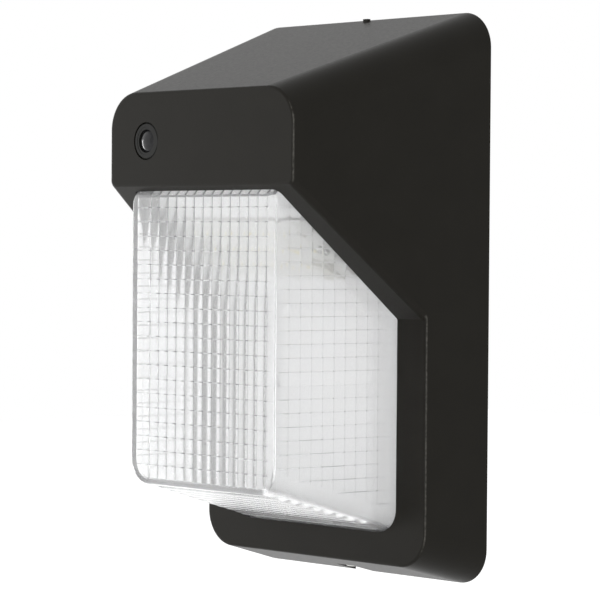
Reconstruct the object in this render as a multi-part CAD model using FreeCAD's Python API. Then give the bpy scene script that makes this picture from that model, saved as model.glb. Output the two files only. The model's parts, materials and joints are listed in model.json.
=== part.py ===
"""LED wall pack light with a button photocell, built as separate pieces.

Frame: millimetres, +X to the viewer's right, +Y into the wall, +Z up.
The origin is on the wall plane, at the centre of the four wall holes.
A "depth" is measured from the housing's rim towards the viewer, so y = -(STANDOFF + depth).
"""
import FreeCAD, Part
import math
import os
from FreeCAD import Vector

# ---------------------------------------------------------------- driving sizes
# Housing, a tapered box with a hood above and a lip below
HOUSING_WIDTH = 147.0
HOUSING_HEIGHT = 240.0
HOUSING_DEPTH = 97.0
RIM_CORNER_RADIUS = 15.2
FRONT_CORNER_RADIUS = 15.9
SIDE_TAPER = 15.6
TOP_TAPER = 34.2
FLOOR_TAPER = 8.5
HOOD_FACE_HEIGHT = 39.4
HOOD_RISE = 55.0
LIP_DEPTH = 31.6
WALL = 3.0
STANDOFF = 3.0
EDGE_ROUND = 1.2
HOOD_ROUND = 3.0

# Lens, a clear box that fills the cut-away front
LENS_SETBACK = 1.8
LENS_SIDE_MARGIN = 12.6
LENS_CROWN_DROP = 3.9
LENS_FOOT_RISE = 14.0
LENS_SIDE_DRAFT = 4.9
LENS_FLOOR_SLOPE = 16.0
LENS_WALL = 2.4
LENS_CORNER_RADIUS = 10.0
LENS_CROWN_ROUND = 3.0
LENS_EDGE_ROUND = 2.0
WINDOW_GAP = 0.5
FLANGE_WIDTH = 4.5
FLANGE_THICK = 2.5
LENS_GASKET_THICK = 1.5
LENS_GASKET_WIDTH = 3.6

# Reflector, heat spreader and light source, stacked behind the lens flange
REFLECTOR_THICK = 1.0
SPREADER_THICK = 3.0
SPREADER_SIDE_GAP = 1.2
SPREADER_FOOT_RISE = 16.4
PANEL_BOSS_INSET = 13.5
PANEL_BOSS_RADIUS = 3.8
PANEL_SCREW_RISE = 19.5
PANEL_SCREW_DROP = 25.4
EAR_X = 14.0
EAR_WIDTH = 13.0
EAR_RISE = 11.1
EAR_SETBACK = 8.0
EAR_TOP_MARGIN = 4.5
EAR_POST_RADIUS = 4.0
BOARD_WIDTH = 74.0
BOARD_LENGTH = 36.0
BOARD_THICK = 1.6
BOARD_CENTRE = 38.0
BOARD_MARGIN = 0.8
BOARD_SCREW_INSET = 4.0
PAD_THICK = 0.5
CHIP_SIZE = 3.0
CHIP_THICK = 0.7
CHIP_ROWS = 3
CHIP_COLUMNS = 6
CHIP_SCREW_GAP = 1.2
CHIP_EDGE_GAP = 6.5
CONNECTOR_WIDTH = 6.0
CONNECTOR_LENGTH = 9.0
CONNECTOR_RISE = 2.2
CONNECTOR_TAIL = 2.0
CONNECTOR_LIP = 1.0
CONNECTOR_MARGIN = 1.5
CONNECTOR_GAP = 0.3

# Driver, carried on two posts inside the hood
DRIVER_SIDE_MARGIN = 13.9
DRIVER_THICK = 26.0
DRIVER_HEIGHT = 34.0
DRIVER_SETBACK = 34.0
DRIVER_RISE = 5.6
DRIVER_WALL = 1.6
DRIVER_COVER_THICK = 1.6
DRIVER_TAB = 12.0
DRIVER_TAB_WIDTH = 12.0
DRIVER_POST_INSET = 6.5
DRIVER_POST_RADIUS = 3.8
DRIVER_BOARD_THICK = 1.6
DRIVER_BOARD_STANDOFF = 3.0
DRIVER_BOARD_MARGIN = 1.5
DRIVER_BOARD_GAP = 0.5
DRIVER_FOOT = 4.0
TRANSFORMER_WIDTH = 20.0
TRANSFORMER_HEIGHT = 18.0
TRANSFORMER_RISE = 13.0
CAPACITOR_RADIUS = 5.0
CAPACITOR_RISE = 14.0
CAPACITOR_X = 22.0
CAPACITOR_Z = 6.0
REGULATOR_WIDTH = 13.0
REGULATOR_HEIGHT = 8.0
REGULATOR_RISE = 4.0

# Photocell in the hood's face
PHOTOCELL_INSET = 23.7
PHOTOCELL_RISE = 18.9
PHOTOCELL_RECESS_RADIUS = 8.0
PHOTOCELL_RECESS = 1.2
PHOTOCELL_NECK_RADIUS = 6.0
PHOTOCELL_NECK_SETBACK = 0.2
PHOTOCELL_BARREL_RADIUS = 9.5
PHOTOCELL_BARREL_LENGTH = 20.0
PHOTOCELL_DOME_RADIUS = 4.9
PHOTOCELL_DOME_RISE = 1.6
PHOTOCELL_DOME_BASE = 0.6
PHOTOCELL_DOME_GAP = 0.05
PHOTOCELL_WASHER_THICK = 1.2
PHOTOCELL_GAP = 0.25
BEZEL_GAP = 0.3
BEZEL_SETBACK = 0.1
BEZEL_CHAMFER = 0.5

# Terminal block and leads
TERMINAL_WIDTH = 24.0
TERMINAL_HEIGHT = 14.0
TERMINAL_THICK = 9.0
TERMINAL_RISE = 45.5
TERMINAL_WAYS = 3
TERMINAL_GRIP = 4.0
TERMINAL_SCREW_RADIUS = 1.9
TERMINAL_SCREW_GAP = 0.1
TERMINAL_SCREW_LENGTH = 1.6
TERMINAL_SCREW_SUNK = 0.4
TERMINAL_SLOT_WIDTH = 0.6
LEAD_RADIUS = 1.1
LEAD_HOLE_GAP = 0.3
LEAD_BEND = 10.0
LEAD_PITCH = 4.0
LEAD_EXIT_RISE = 6.0
LEAD_REACH = 5.0
LED_WAYS = 2
LED_LEAD_RISE = 12.0
LINE_TURN_DROP = 26.4
LINE_DROP = 18.0
PHOTOCELL_LEAD_DROP = 7.0
PHOTOCELL_ENTRY = 8.0

# Mounting plate on the wall
PLATE_THICK = 2.5
PLATE_SIDE_GAP = 2.0
PLATE_TOP_INSET = 10.0
PLATE_BOTTOM_INSET = 6.0
PLATE_CORNER_RADIUS = 12.0
WALL_HOLE_INSET_X = 23.5
WALL_HOLE_INSET_Z = 35.0
WALL_HOLE_RADIUS = 2.75
WALL_PAD_RADIUS = 6.5
BOX_SLOT_SPACING_X = 88.9
BOX_SLOT_SPACING_Z = 83.3
BOX_SLOT_LENGTH = 10.0
BOX_SLOT_RADIUS = 2.6
BOX_PAD_RADIUS = 5.5
WALL_GASKET_WIDTH = 5.0
WALL_GASKET_INSET_X = 9.5
WALL_GASKET_INSET_Z = 16.0
WALL_GASKET_RADIUS = 10.0
ENTRY_HOLE_RADIUS = 12.0
GROMMET_BORE_RADIUS = 6.5
GROMMET_FLANGE = 2.5
GROMMET_FLANGE_THICK = 1.5
GROUND_SCREW_X = 28.0
GROUND_SCREW_RISE = 8.0
GROUND_HEAD_RADIUS = 3.8

# Seal between the housing and the plate
SEAL_DEPTH = 5.0
SEAL_WIDTH = 4.0
SEAL_GAP = 0.2
SEAL_TOP_INSET = 13.0
SEAL_BOTTOM_INSET = 12.0
SEAL_RIB_THICK = 3.5
SEAL_MARGIN = 0.2

# Hanger at the top and locking screw at the bottom
PIVOT_DEPTH = 6.0
PIVOT_INSET = 7.5
HANGER_RADIUS = 1.6
HANGER_GAP = 0.3
HANGER_WEB = 2.0
HANGER_LENGTH = 18.0
HOOK_WIDTH = 12.0
HOOK_THICK = 2.0
HOOK_X = 40.0
HOOK_MOUTH = 0.2
NUB_WIDTH = 2.8
NUB_RISE = 0.5
NUB_DEPTH = 0.4
NUB_LENGTH = 1.8
LOCK_DEPTH = 6.5
LOCK_SEAT_RISE = 5.5
LOCK_POCKET_WIDTH = 11.0
LOCK_POCKET_DEPTH = 12.0
LOCK_SEAT_THICK = 3.0
LOCK_TAB_WIDTH = 16.0
LOCK_TAB_GAP = 0.5
LOCK_TAB_REACH = 6.0
LOCK_TAB_NOTCH_GAP = 1.5
LOCK_SLOT_GAP = 0.5
LOCK_SHANK_RADIUS = 2.0
LOCK_SHANK_PROUD = 0.2
LOCK_THREAD_GAP = 0.05
LOCK_HEAD_RADIUS = 3.9
LOCK_HEAD_THICK = 2.2
LOCK_WASHER_THICK = 0.8
LOCK_WASHER_RADIUS = 4.4

# Small fasteners
SCREW_RADIUS = 1.5
SCREW_HEAD_RADIUS = 2.8
SCREW_HEAD_THICK = 1.8
SCREW_HOLE_GAP = 0.2
SCREW_GRIP = 5.0
SCREW_TIP_GAP = 1.0
DRIVE_RADIUS = 1.1
DRIVE_DEPTH = 0.9

# ---------------------------------------------------------------- derived sizes
FAR = 4 * HOUSING_HEIGHT
CUT = WALL / 3
RIM_TOP = HOUSING_HEIGHT / 2
RIM_BOTTOM = -HOUSING_HEIGHT / 2
FRONT_WIDTH = HOUSING_WIDTH - 2 * SIDE_TAPER
FRONT_TOP = RIM_TOP - TOP_TAPER
HOOD_BOTTOM = FRONT_TOP - HOOD_FACE_HEIGHT
LIP_TOP = HOOD_BOTTOM - HOOD_RISE
LIP_BOTTOM = RIM_BOTTOM + FLOOR_TAPER
SIDE_SLOPE = SIDE_TAPER / HOUSING_DEPTH
TOP_SLOPE = TOP_TAPER / HOUSING_DEPTH
FLOOR_SLOPE = FLOOR_TAPER / LIP_DEPTH
DIAGONAL = math.atan2(HOOD_RISE, HOUSING_DEPTH - LIP_DEPTH)
LENS_DEPTH = HOUSING_DEPTH - LENS_SETBACK
LENS_FRONT_WIDTH = FRONT_WIDTH - 2 * LENS_SIDE_MARGIN
LENS_FRONT_TOP = HOOD_BOTTOM - LENS_CROWN_DROP
LENS_FOOT = LIP_BOTTOM + LENS_FOOT_RISE
FLANGE_FRONT = WALL + LENS_GASKET_THICK
FLANGE_BACK = FLANGE_FRONT + FLANGE_THICK
REFLECTOR_BACK = FLANGE_BACK + REFLECTOR_THICK
SPREADER_BACK = REFLECTOR_BACK + SPREADER_THICK
SPREADER_FOOT = RIM_BOTTOM + SPREADER_FOOT_RISE
PANEL_BOSS_X = HOUSING_WIDTH / 2 - PANEL_BOSS_INSET
PANEL_SCREW_Z = (LIP_BOTTOM + PANEL_SCREW_RISE, LIP_TOP - PANEL_SCREW_DROP)
EAR_SCREW_Z = HOOD_BOTTOM + EAR_RISE
BOARD_BACK = REFLECTOR_BACK - PAD_THICK
BOARD_FRONT = BOARD_BACK - BOARD_THICK
BOARD_SCREW_X = BOARD_WIDTH / 2 - BOARD_SCREW_INSET
CHIP_REACH_X = BOARD_SCREW_X - SCREW_HEAD_RADIUS - CHIP_SCREW_GAP - CHIP_SIZE / 2
CHIP_REACH_S = BOARD_LENGTH / 2 - CHIP_EDGE_GAP - CHIP_SIZE / 2
CHIP_PITCH_X = 2 * CHIP_REACH_X / (CHIP_COLUMNS - 1)
CHIP_PITCH_S = 2 * CHIP_REACH_S / (CHIP_ROWS - 1)
DRIVER_WIDTH = FRONT_WIDTH - 2 * DRIVER_SIDE_MARGIN
DRIVER_FRONT_DEPTH = HOUSING_DEPTH - DRIVER_SETBACK
DRIVER_BOTTOM = HOOD_BOTTOM + DRIVER_RISE
DRIVER_POST_X = DRIVER_WIDTH / 2 + DRIVER_POST_INSET
PHOTOCELL_X = PHOTOCELL_INSET - FRONT_WIDTH / 2
PHOTOCELL_Z = HOOD_BOTTOM + PHOTOCELL_RISE
TERMINAL_Z = LIP_BOTTOM + TERMINAL_RISE
LINE_TURN_Z = HOOD_BOTTOM - LINE_TURN_DROP
PLATE_TOP = RIM_TOP - PLATE_TOP_INSET
PLATE_BOTTOM = RIM_BOTTOM + PLATE_BOTTOM_INSET
WALL_HOLE_X = HOUSING_WIDTH / 2 - WALL_HOLE_INSET_X
WALL_HOLE_Z = HOUSING_HEIGHT / 2 - WALL_HOLE_INSET_Z
WALL_GASKET_HALF_WIDTH = HOUSING_WIDTH / 2 - WALL_GASKET_INSET_X
WALL_GASKET_HALF_HEIGHT = HOUSING_HEIGHT / 2 - WALL_GASKET_INSET_Z
GROUND_SCREW_Z = TERMINAL_Z + GROUND_SCREW_RISE
SEAL_BACK_DEPTH = PLATE_THICK + SEAL_GAP
SEAL_TOP = RIM_TOP - SEAL_TOP_INSET
SEAL_BOTTOM = RIM_BOTTOM + SEAL_BOTTOM_INSET
PIVOT_Y = -(STANDOFF + PIVOT_DEPTH)
PIVOT_Z = RIM_TOP - PIVOT_INSET
LOCK_Y = -(STANDOFF + LOCK_DEPTH)
LOCK_SEAT_Z = RIM_BOTTOM + LOCK_SEAT_RISE
LOCK_TAB_BOTTOM = LOCK_SEAT_Z + LOCK_SEAT_THICK + LOCK_TAB_GAP


def y_at(depth):
    """Y of a depth measured from the rim towards the viewer."""
    return -(STANDOFF + depth)


# ---------------------------------------------------------------- helpers
def box(x0, x1, y0, y1, z0, z1):
    """Block between two corners, given in any order."""
    low = Vector(min(x0, x1), min(y0, y1), min(z0, z1))
    return Part.makeBox(abs(x1 - x0), abs(y1 - y0), abs(z1 - z0), low)


def rod(radius, start, end):
    """Cylinder from one point to another."""
    axis = end - start
    return Part.makeCylinder(radius, axis.Length, start, axis)


def fuse(shapes):
    """Union of a list of shapes, with flush faces merged."""
    result = shapes[0]
    for shape in shapes[1:]:
        result = result.fuse(shape)
    return result.removeSplitter()


def prism(points, half_width):
    """Solid with an outline in (depth, z), spread evenly to both sides of x = 0."""
    corners = [Vector(-half_width, y_at(d), z) for d, z in points]
    face = Part.Face(Part.makePolygon(corners + [corners[0]]))
    return face.extrude(Vector(2 * half_width, 0, 0))


def rounded_wire(y, left, right, bottom, top, lower_radius, upper_radius):
    """Rectangle in a plane of constant y, its corners rounded where the radius isn't 0."""
    corners = [(right, top, upper_radius, 0), (left, top, upper_radius, 90),
               (left, bottom, lower_radius, 180), (right, bottom, lower_radius, 270)]
    edges = []
    ends = []
    for x, z, radius, start in corners:
        sign_x = 1 if x == right else -1
        sign_z = 1 if z == top else -1
        centre = Vector(x - sign_x * radius, y, z - sign_z * radius)
        angles = [math.radians(start + step) for step in (0, 45, 90)]
        points = [centre + Vector(radius * math.cos(a), 0, radius * math.sin(a)) for a in angles]
        ends.append((points[0], points[2], points))
    for i, (first, last, points) in enumerate(ends):
        if (last - first).Length > 1e-6:
            edges.append(Part.Arc(*points).toShape())
        edges.append(Part.LineSegment(last, ends[(i + 1) % len(ends)][0]).toShape())
    return Part.Wire(edges)


def rounded_plate(y0, y1, left, right, bottom, top, radius):
    """Flat plate with rounded corners between two planes of constant y."""
    wire = rounded_wire(y0, left, right, bottom, top, radius, radius)
    return Part.Face(wire).extrude(Vector(0, y1 - y0, 0))


def stadium(y0, y1, centre, length, radius, along_x):
    """Slot-shaped block, its long way along X or Z."""
    reach = length / 2 - radius
    offset = Vector(reach, 0, 0) if along_x else Vector(0, 0, reach)
    middle = Vector(centre.x, y0, centre.z)
    depth = Vector(0, y1 - y0, 0)
    ends = [rod(radius, middle + offset, middle + offset + depth),
            rod(radius, middle - offset, middle - offset + depth)]
    side_x = reach if along_x else radius
    side_z = radius if along_x else reach
    block = box(centre.x - side_x, centre.x + side_x, y0, y1, centre.z - side_z, centre.z + side_z)
    return fuse(ends + [block])


def screw(seat, direction, radius, length, head_radius, head_thick):
    """Pan-head screw: its head stands off the seat, its shank runs along direction."""
    axis = Vector(direction)
    axis.normalize()
    head = Part.makeCylinder(head_radius, head_thick, seat - axis * head_thick, axis)
    outer = [e for e in head.Edges if isinstance(e.Curve, Part.Circle)]
    outer.sort(key=lambda e: e.Curve.Center.distanceToPoint(seat))
    head = head.makeFillet(head_thick * 0.45, [outer[-1]])
    shank = Part.makeCylinder(radius, length, seat, axis)
    drive = Part.makeCylinder(DRIVE_RADIUS, DRIVE_DEPTH, seat - axis * head_thick, axis)
    return head.fuse(shank).cut(drive)


def tube_path(points, bend):
    """Wire of straight runs joined by tangent arcs."""
    edges = []
    start = points[0]
    for i in range(1, len(points) - 1):
        corner = points[i]
        before = points[i - 1] - corner
        after = points[i + 1] - corner
        room = 0.45 * min(before.Length, after.Length)
        before.normalize()
        after.normalize()
        half = before.getAngle(after) / 2
        radius = min(bend, room * math.tan(half))
        trim = radius / math.tan(half)
        a = corner + before * trim
        b = corner + after * trim
        inward = before + after
        inward.normalize()
        middle = corner + inward * (radius / math.sin(half) - radius)
        edges.append(Part.LineSegment(start, a).toShape())
        edges.append(Part.Arc(a, middle, b).toShape())
        start = b
    edges.append(Part.LineSegment(start, points[-1]).toShape())
    return Part.Wire(edges)


def lead(points):
    """One insulated wire along a path of points."""
    path = tube_path(points, LEAD_BEND)
    along = points[1] - points[0]
    section = Part.Wire(Part.Circle(points[0], along, LEAD_RADIUS).toShape())
    return path.makePipeShell([section], True, False)


def write(name, shapes):
    """Write one node, a list of separate solids, to its STEP file."""
    solids = []
    for shape in shapes:
        solids += shape.Solids
    result = solids[0] if len(solids) == 1 else Part.makeCompound(solids)
    if not result.isValid():
        print("not valid:", name)
    result.exportStep(os.path.join("parts", name + ".step"))
    volume = sum(s.Volume for s in solids)
    print(f"{name:20s} {len(solids):3d} solids {volume / 1000:8.2f} cm3")


# ---------------------------------------------------------------- shared forms
def outline(depth, inset):
    """Housing outline at a depth, moved inwards by an inset."""
    half = HOUSING_WIDTH / 2 - SIDE_SLOPE * depth - inset
    share = depth / HOUSING_DEPTH
    radius = RIM_CORNER_RADIUS + (FRONT_CORNER_RADIUS - RIM_CORNER_RADIUS) * share - inset
    top = RIM_TOP - TOP_SLOPE * depth - inset
    bottom = RIM_BOTTOM + FLOOR_SLOPE * depth + inset
    return rounded_wire(y_at(depth), -half, half, bottom, top, radius, radius)


def tapered_block(depth_from, depth_to, inset):
    """Solid of the housing's tapered form between two depths."""
    return Part.makeLoft([outline(depth_from, inset), outline(depth_to, inset)], True, True)


def front_corner(offset):
    """Point (depth, z) where the diagonal and the lip meet, moved inwards by an offset."""
    shift = offset * (1 - math.sin(DIAGONAL)) / math.cos(DIAGONAL)
    return LIP_DEPTH - offset, LIP_TOP + shift


def behind_front(offset):
    """Everything behind the diagonal and the lip, moved inwards by an offset."""
    depth, z = front_corner(offset)
    far_depth = depth + FAR * math.cos(DIAGONAL)
    far_z = z + FAR * math.sin(DIAGONAL)
    points = [(depth, z), (far_depth, far_z), (-FAR, far_z), (-FAR, -FAR), (depth, -FAR)]
    return prism(points, HOUSING_WIDTH)


def front_layer(offset_from, offset_to):
    """Bent layer that follows the diagonal and the lip between two offsets."""
    return behind_front(offset_from).cut(behind_front(offset_to))


def on_diagonal(along, offset):
    """Point (depth, z) on the diagonal, at a distance up from the lip and an offset inwards."""
    depth = LIP_DEPTH + along * math.cos(DIAGONAL) - offset * math.sin(DIAGONAL)
    z = LIP_TOP + along * math.sin(DIAGONAL) + offset * math.cos(DIAGONAL)
    return depth, z


def diagonal_block(x0, x1, along0, along1, offset0, offset1):
    """Block that lies square on the diagonal."""
    corners = [on_diagonal(along0, offset0), on_diagonal(along1, offset0),
               on_diagonal(along1, offset1), on_diagonal(along0, offset1)]
    points = [Vector(x0, y_at(d), z) for d, z in corners]
    face = Part.Face(Part.makePolygon(points + [points[0]]))
    return face.extrude(Vector(x1 - x0, 0, 0))


def diagonal_point(x, along, offset):
    """Point in space on the diagonal."""
    depth, z = on_diagonal(along, offset)
    return Vector(x, y_at(depth), z)


def lens_half_width(depth, grow):
    """Half the lens's width at a depth."""
    return LENS_FRONT_WIDTH / 2 + grow + (LENS_DEPTH - depth) * math.tan(math.radians(LENS_SIDE_DRAFT))


def lens_floor(depth, grow):
    """Height of the lens's sloping floor at a depth."""
    rise = (depth - LIP_DEPTH) * math.tan(math.radians(LENS_FLOOR_SLOPE))
    return LENS_FOOT - grow + rise


def lens_section(depth, grow):
    """Lens outline at a depth, open-topped above the crown."""
    half = lens_half_width(depth, grow)
    radius = LENS_CORNER_RADIUS + grow
    return rounded_wire(y_at(depth), -half, half, lens_floor(depth, grow), RIM_TOP, radius, 0)


def lens_block(grow):
    """Full form of the lens, grown outwards by a distance."""
    front = LENS_DEPTH + grow
    block = Part.makeLoft([lens_section(front, grow), lens_section(0, grow)], True, True)
    crown_depth = LENS_DEPTH + grow * math.cos(DIAGONAL)
    crown_z = LENS_FRONT_TOP + grow * math.sin(DIAGONAL)
    side = (math.sin(DIAGONAL), -math.cos(DIAGONAL))
    above = [(crown_depth + FAR * side[0], crown_z + FAR * side[1]),
             (crown_depth - FAR * side[0], crown_z - FAR * side[1]),
             (crown_depth + FAR, crown_z + FAR)]
    block = block.cut(prism(above, HOUSING_WIDTH))
    return round_crown(block, grow)


def round_crown(block, grow):
    """Round the edges where the crown meets the lens's sides."""
    normal = Vector(0, -math.cos(DIAGONAL), math.sin(DIAGONAL))
    crown = max(block.Faces, key=lambda f: f.normalAt(0, 0).dot(normal))
    sloping = [e for e in crown.Edges if abs(e.tangentAt(e.FirstParameter).x) < 0.2]
    return block.makeFillet(LENS_CROWN_ROUND + grow, sloping)


# ---------------------------------------------------------------- housing
def on_hood(point):
    """Whether a point lies on the diagonal's plane."""
    depth = -point.y - STANDOFF
    return abs(point.z - LIP_TOP - (depth - LIP_DEPTH) * math.tan(DIAGONAL)) < 0.01


def edges_where(shape, test):
    """Edges of a shape whose ends and middle all pass a test."""
    found = []
    for edge in shape.Edges:
        middle = edge.valueAt((edge.FirstParameter + edge.LastParameter) / 2)
        if all(test(p) for p in (edge.valueAt(edge.FirstParameter), middle, edge.valueAt(edge.LastParameter))):
            found.append(edge)
    return found


def housing_form():
    """Outer solid of the housing, rounded round the hood's sides and its front faces."""
    form = tapered_block(0, HOUSING_DEPTH, 0).common(behind_front(0))
    form = form.makeFillet(HOOD_ROUND, edges_where(form, lambda p: on_hood(p) and abs(p.x) > 1))
    rounded = []
    for depth, low in ((HOUSING_DEPTH, HOOD_BOTTOM), (LIP_DEPTH, LIP_TOP)):
        edges = edges_where(form, lambda p: abs(p.y - y_at(depth)) < 0.01)
        rounded += [e for e in edges if abs(e.CenterOfMass.z - low) > 0.01]
    return form.makeFillet(EDGE_ROUND, rounded)


def seal_ledge():
    """Ledge inside the rim that carries the seal against the plate."""
    front = LIP_DEPTH - WALL
    half = HOUSING_WIDTH / 2
    rim = box(-half, half, y_at(SEAL_DEPTH), y_at(front), SEAL_BOTTOM, SEAL_TOP)
    opening_half = seal_half_width() - SEAL_WIDTH
    low = SEAL_BOTTOM + SEAL_RIB_THICK
    high = SEAL_TOP - SEAL_RIB_THICK
    opening = box(-opening_half, opening_half, y_at(0), y_at(front + CUT), low, high)
    return rim.cut(opening)


def seal_half_width():
    """Half the seal's outer width, kept inside the housing's wall."""
    return HOUSING_WIDTH / 2 - SIDE_SLOPE * SEAL_DEPTH - WALL


def hanger_bar(x):
    """Round bar under the top wall that rests in a hook, with the web that carries it."""
    start = Vector(x - HANGER_LENGTH / 2, PIVOT_Y, PIVOT_Z)
    bar = rod(HANGER_RADIUS, start, start + Vector(HANGER_LENGTH, 0, 0))
    web_top = RIM_TOP - TOP_SLOPE * PIVOT_DEPTH - WALL / 2
    web = box(start.x, start.x + HANGER_LENGTH, PIVOT_Y - HANGER_WEB / 2,
              PIVOT_Y + HANGER_WEB / 2, PIVOT_Z, web_top)
    return [bar, web]


def panel_boss_positions():
    """X and Z of the four bosses beside the lens window."""
    return [(side * PANEL_BOSS_X, z) for side in (-1, 1) for z in PANEL_SCREW_Z]


def lock_pocket():
    """Recess under the rim for the locking screw's head."""
    half = LOCK_POCKET_WIDTH / 2
    return box(-half, half, y_at(-CUT), y_at(LOCK_POCKET_DEPTH), RIM_BOTTOM - CUT, LOCK_SEAT_Z)


def lock_seat():
    """Thick floor above the pocket, which the screw clamps."""
    half = LOCK_POCKET_WIDTH / 2 + WALL
    top = LOCK_SEAT_Z + LOCK_SEAT_THICK
    block = box(-half, half, y_at(0), y_at(LOCK_POCKET_DEPTH + WALL), RIM_BOTTOM, top)
    return block.common(tapered_block(0, LIP_DEPTH, 0))


def housing_shell():
    """Die-cast housing with its window, bosses, hanger bars and lock pocket."""
    form = housing_form()
    cavity = tapered_block(-CUT, HOUSING_DEPTH - WALL, WALL).common(behind_front(WALL))
    shell = form.cut(cavity)
    ledge = seal_ledge().common(tapered_block(0, LIP_DEPTH, WALL / 2))
    extras = [ledge]
    for side in (-1, 1):
        extras += hanger_bar(side * HOOK_X)
        foot = Vector(side * DRIVER_POST_X, y_at(HOUSING_DEPTH - WALL / 2), driver_post_z())
        tip = Vector(foot.x, y_at(DRIVER_FRONT_DEPTH), foot.z)
        extras.append(rod(DRIVER_POST_RADIUS, foot, tip))
        foot = Vector(side * EAR_X, y_at(HOUSING_DEPTH - WALL / 2), EAR_SCREW_Z)
        tip = Vector(foot.x, y_at(ear_depth() + SPREADER_THICK / 2), foot.z)
        extras.append(rod(EAR_POST_RADIUS, foot, tip))
    for x, z in panel_boss_positions():
        foot = Vector(x, y_at(LIP_DEPTH - WALL / 2), z)
        extras.append(rod(PANEL_BOSS_RADIUS, foot, Vector(x, y_at(LIP_DEPTH - FLANGE_BACK), z)))
    extras.append(lock_seat())
    nub_y = y_at(NUB_DEPTH)
    nub_top = RIM_TOP + NUB_RISE
    extras.append(box(-NUB_WIDTH / 2, NUB_WIDTH / 2, nub_y, nub_y - NUB_LENGTH,
                      RIM_TOP - WALL / 2 - TOP_SLOPE * NUB_LENGTH, nub_top))
    shell = fuse([shell] + extras)
    window = lens_block(WINDOW_GAP).cut(behind_front(WALL + WINDOW_GAP))
    shell = shell.cut(window).cut(lock_pocket())
    return shell.cut(Part.makeCompound(housing_holes()))


def housing_holes():
    """Screw holes, the photocell's hole and the lock screw's slot."""
    holes = []
    reach = SCREW_GRIP + SCREW_TIP_GAP
    for side in (-1, 1):
        tip = Vector(side * DRIVER_POST_X, y_at(DRIVER_FRONT_DEPTH), driver_post_z())
        holes.append(rod(SCREW_RADIUS, tip, tip - Vector(0, reach, 0)))
        tip = Vector(side * EAR_X, y_at(ear_depth() + SPREADER_THICK / 2), EAR_SCREW_Z)
        holes.append(rod(SCREW_RADIUS, tip, tip - Vector(0, reach, 0)))
    for x, z in panel_boss_positions():
        tip = Vector(x, y_at(LIP_DEPTH - FLANGE_BACK), z)
        holes.append(rod(SCREW_RADIUS, tip, tip - Vector(0, SCREW_GRIP, 0)))
    face = Vector(PHOTOCELL_X, y_at(HOUSING_DEPTH), PHOTOCELL_Z)
    back = face + Vector(0, WALL + CUT, 0)
    holes.append(rod(PHOTOCELL_NECK_RADIUS + PHOTOCELL_GAP, face, back))
    holes.append(rod(PHOTOCELL_RECESS_RADIUS, face - Vector(0, CUT, 0), face + Vector(0, PHOTOCELL_RECESS, 0)))
    half = LOCK_SHANK_RADIUS + LOCK_SLOT_GAP
    low = LOCK_SEAT_Z - CUT
    top = LOCK_SEAT_Z + LOCK_SEAT_THICK + CUT
    holes.append(box(-half, half, y_at(-CUT), LOCK_Y, low, top))
    holes.append(rod(half, Vector(0, LOCK_Y, low), Vector(0, LOCK_Y, top)))
    return holes


def housing_seal():
    """Foam seal on the ledge, facing the mounting plate."""
    half = seal_half_width() - SEAL_MARGIN
    y_front = y_at(SEAL_DEPTH)
    y_back = y_at(SEAL_BACK_DEPTH)
    top = SEAL_TOP - SEAL_MARGIN
    bottom = SEAL_BOTTOM + SEAL_MARGIN
    side = SEAL_WIDTH - 2 * SEAL_MARGIN
    strip = SEAL_RIB_THICK - 2 * SEAL_MARGIN
    radius = RIM_CORNER_RADIUS - WALL
    outer = rounded_plate(y_front, y_back, -half, half, bottom, top, radius)
    hole = rounded_plate(y_front, y_back, side - half, half - side, bottom + strip, top - strip, radius - side)
    return outer.cut(hole)


# ---------------------------------------------------------------- lens
def lens():
    """Clear lens: a hollow box with a flange that follows the diagonal and the lip."""
    outer = lens_block(0)
    front_y = y_at(LENS_DEPTH)
    front = min(outer.Faces, key=lambda f: abs(f.CenterOfMass.y - front_y))
    outer = outer.makeFillet(LENS_EDGE_ROUND, front.Edges)
    body = outer.cut(behind_front(FLANGE_BACK))
    flange = lens_block(FLANGE_WIDTH).common(front_layer(FLANGE_FRONT, FLANGE_BACK))
    hollow = lens_block(-LENS_WALL).cut(behind_front(FLANGE_BACK + CUT))
    flange = flange.common(tapered_block(0, HOUSING_DEPTH - WALL, WALL + WINDOW_GAP))
    return body.fuse(flange).removeSplitter().cut(hollow)


def lens_gasket():
    """Silicone gasket between the lens's flange and the housing."""
    ring = lens_block(WINDOW_GAP + LENS_GASKET_WIDTH).common(front_layer(WALL, FLANGE_FRONT))
    ring = ring.common(tapered_block(0, HOUSING_DEPTH - WALL, WALL + WINDOW_GAP))
    return ring.cut(lens_block(WINDOW_GAP))


# ---------------------------------------------------------------- light source
def ear_depth():
    """Depth of the spreader's upright ears, at the middle of their thickness."""
    return HOUSING_DEPTH - WALL - EAR_SETBACK


def panel_limits(offset_from, offset_to):
    """Bent panel behind the lens, clear of the housing's walls."""
    panel = front_layer(offset_from, offset_to)
    panel = panel.common(tapered_block(0, HOUSING_DEPTH, WALL + SPREADER_SIDE_GAP))
    half = seal_half_width() - SEAL_WIDTH - SPREADER_SIDE_GAP
    limit_y = y_at(ear_depth() + SPREADER_THICK / 2)
    return panel.common(box(-half, half, limit_y, 0, SPREADER_FOOT, FRONT_TOP))


def heat_spreader():
    """Bent aluminium plate that takes the heat from the board to the housing."""
    plate = panel_limits(REFLECTOR_BACK, SPREADER_BACK)
    front = ear_depth() + SPREADER_THICK / 2
    back = ear_depth() - SPREADER_THICK / 2
    slope = math.tan(DIAGONAL)
    depth, z = on_diagonal(0, REFLECTOR_BACK)
    ear_bottom = z + (front - depth) * slope
    parts = [plate]
    for side in (-1, 1):
        low = side * EAR_X - EAR_WIDTH / 2
        high = side * EAR_X + EAR_WIDTH / 2
        parts.append(box(low, high, y_at(front), y_at(back), ear_bottom, EAR_SCREW_Z + EAR_TOP_MARGIN))
    plate = fuse(parts)
    return plate.cut(Part.makeCompound(spreader_holes()))


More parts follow.
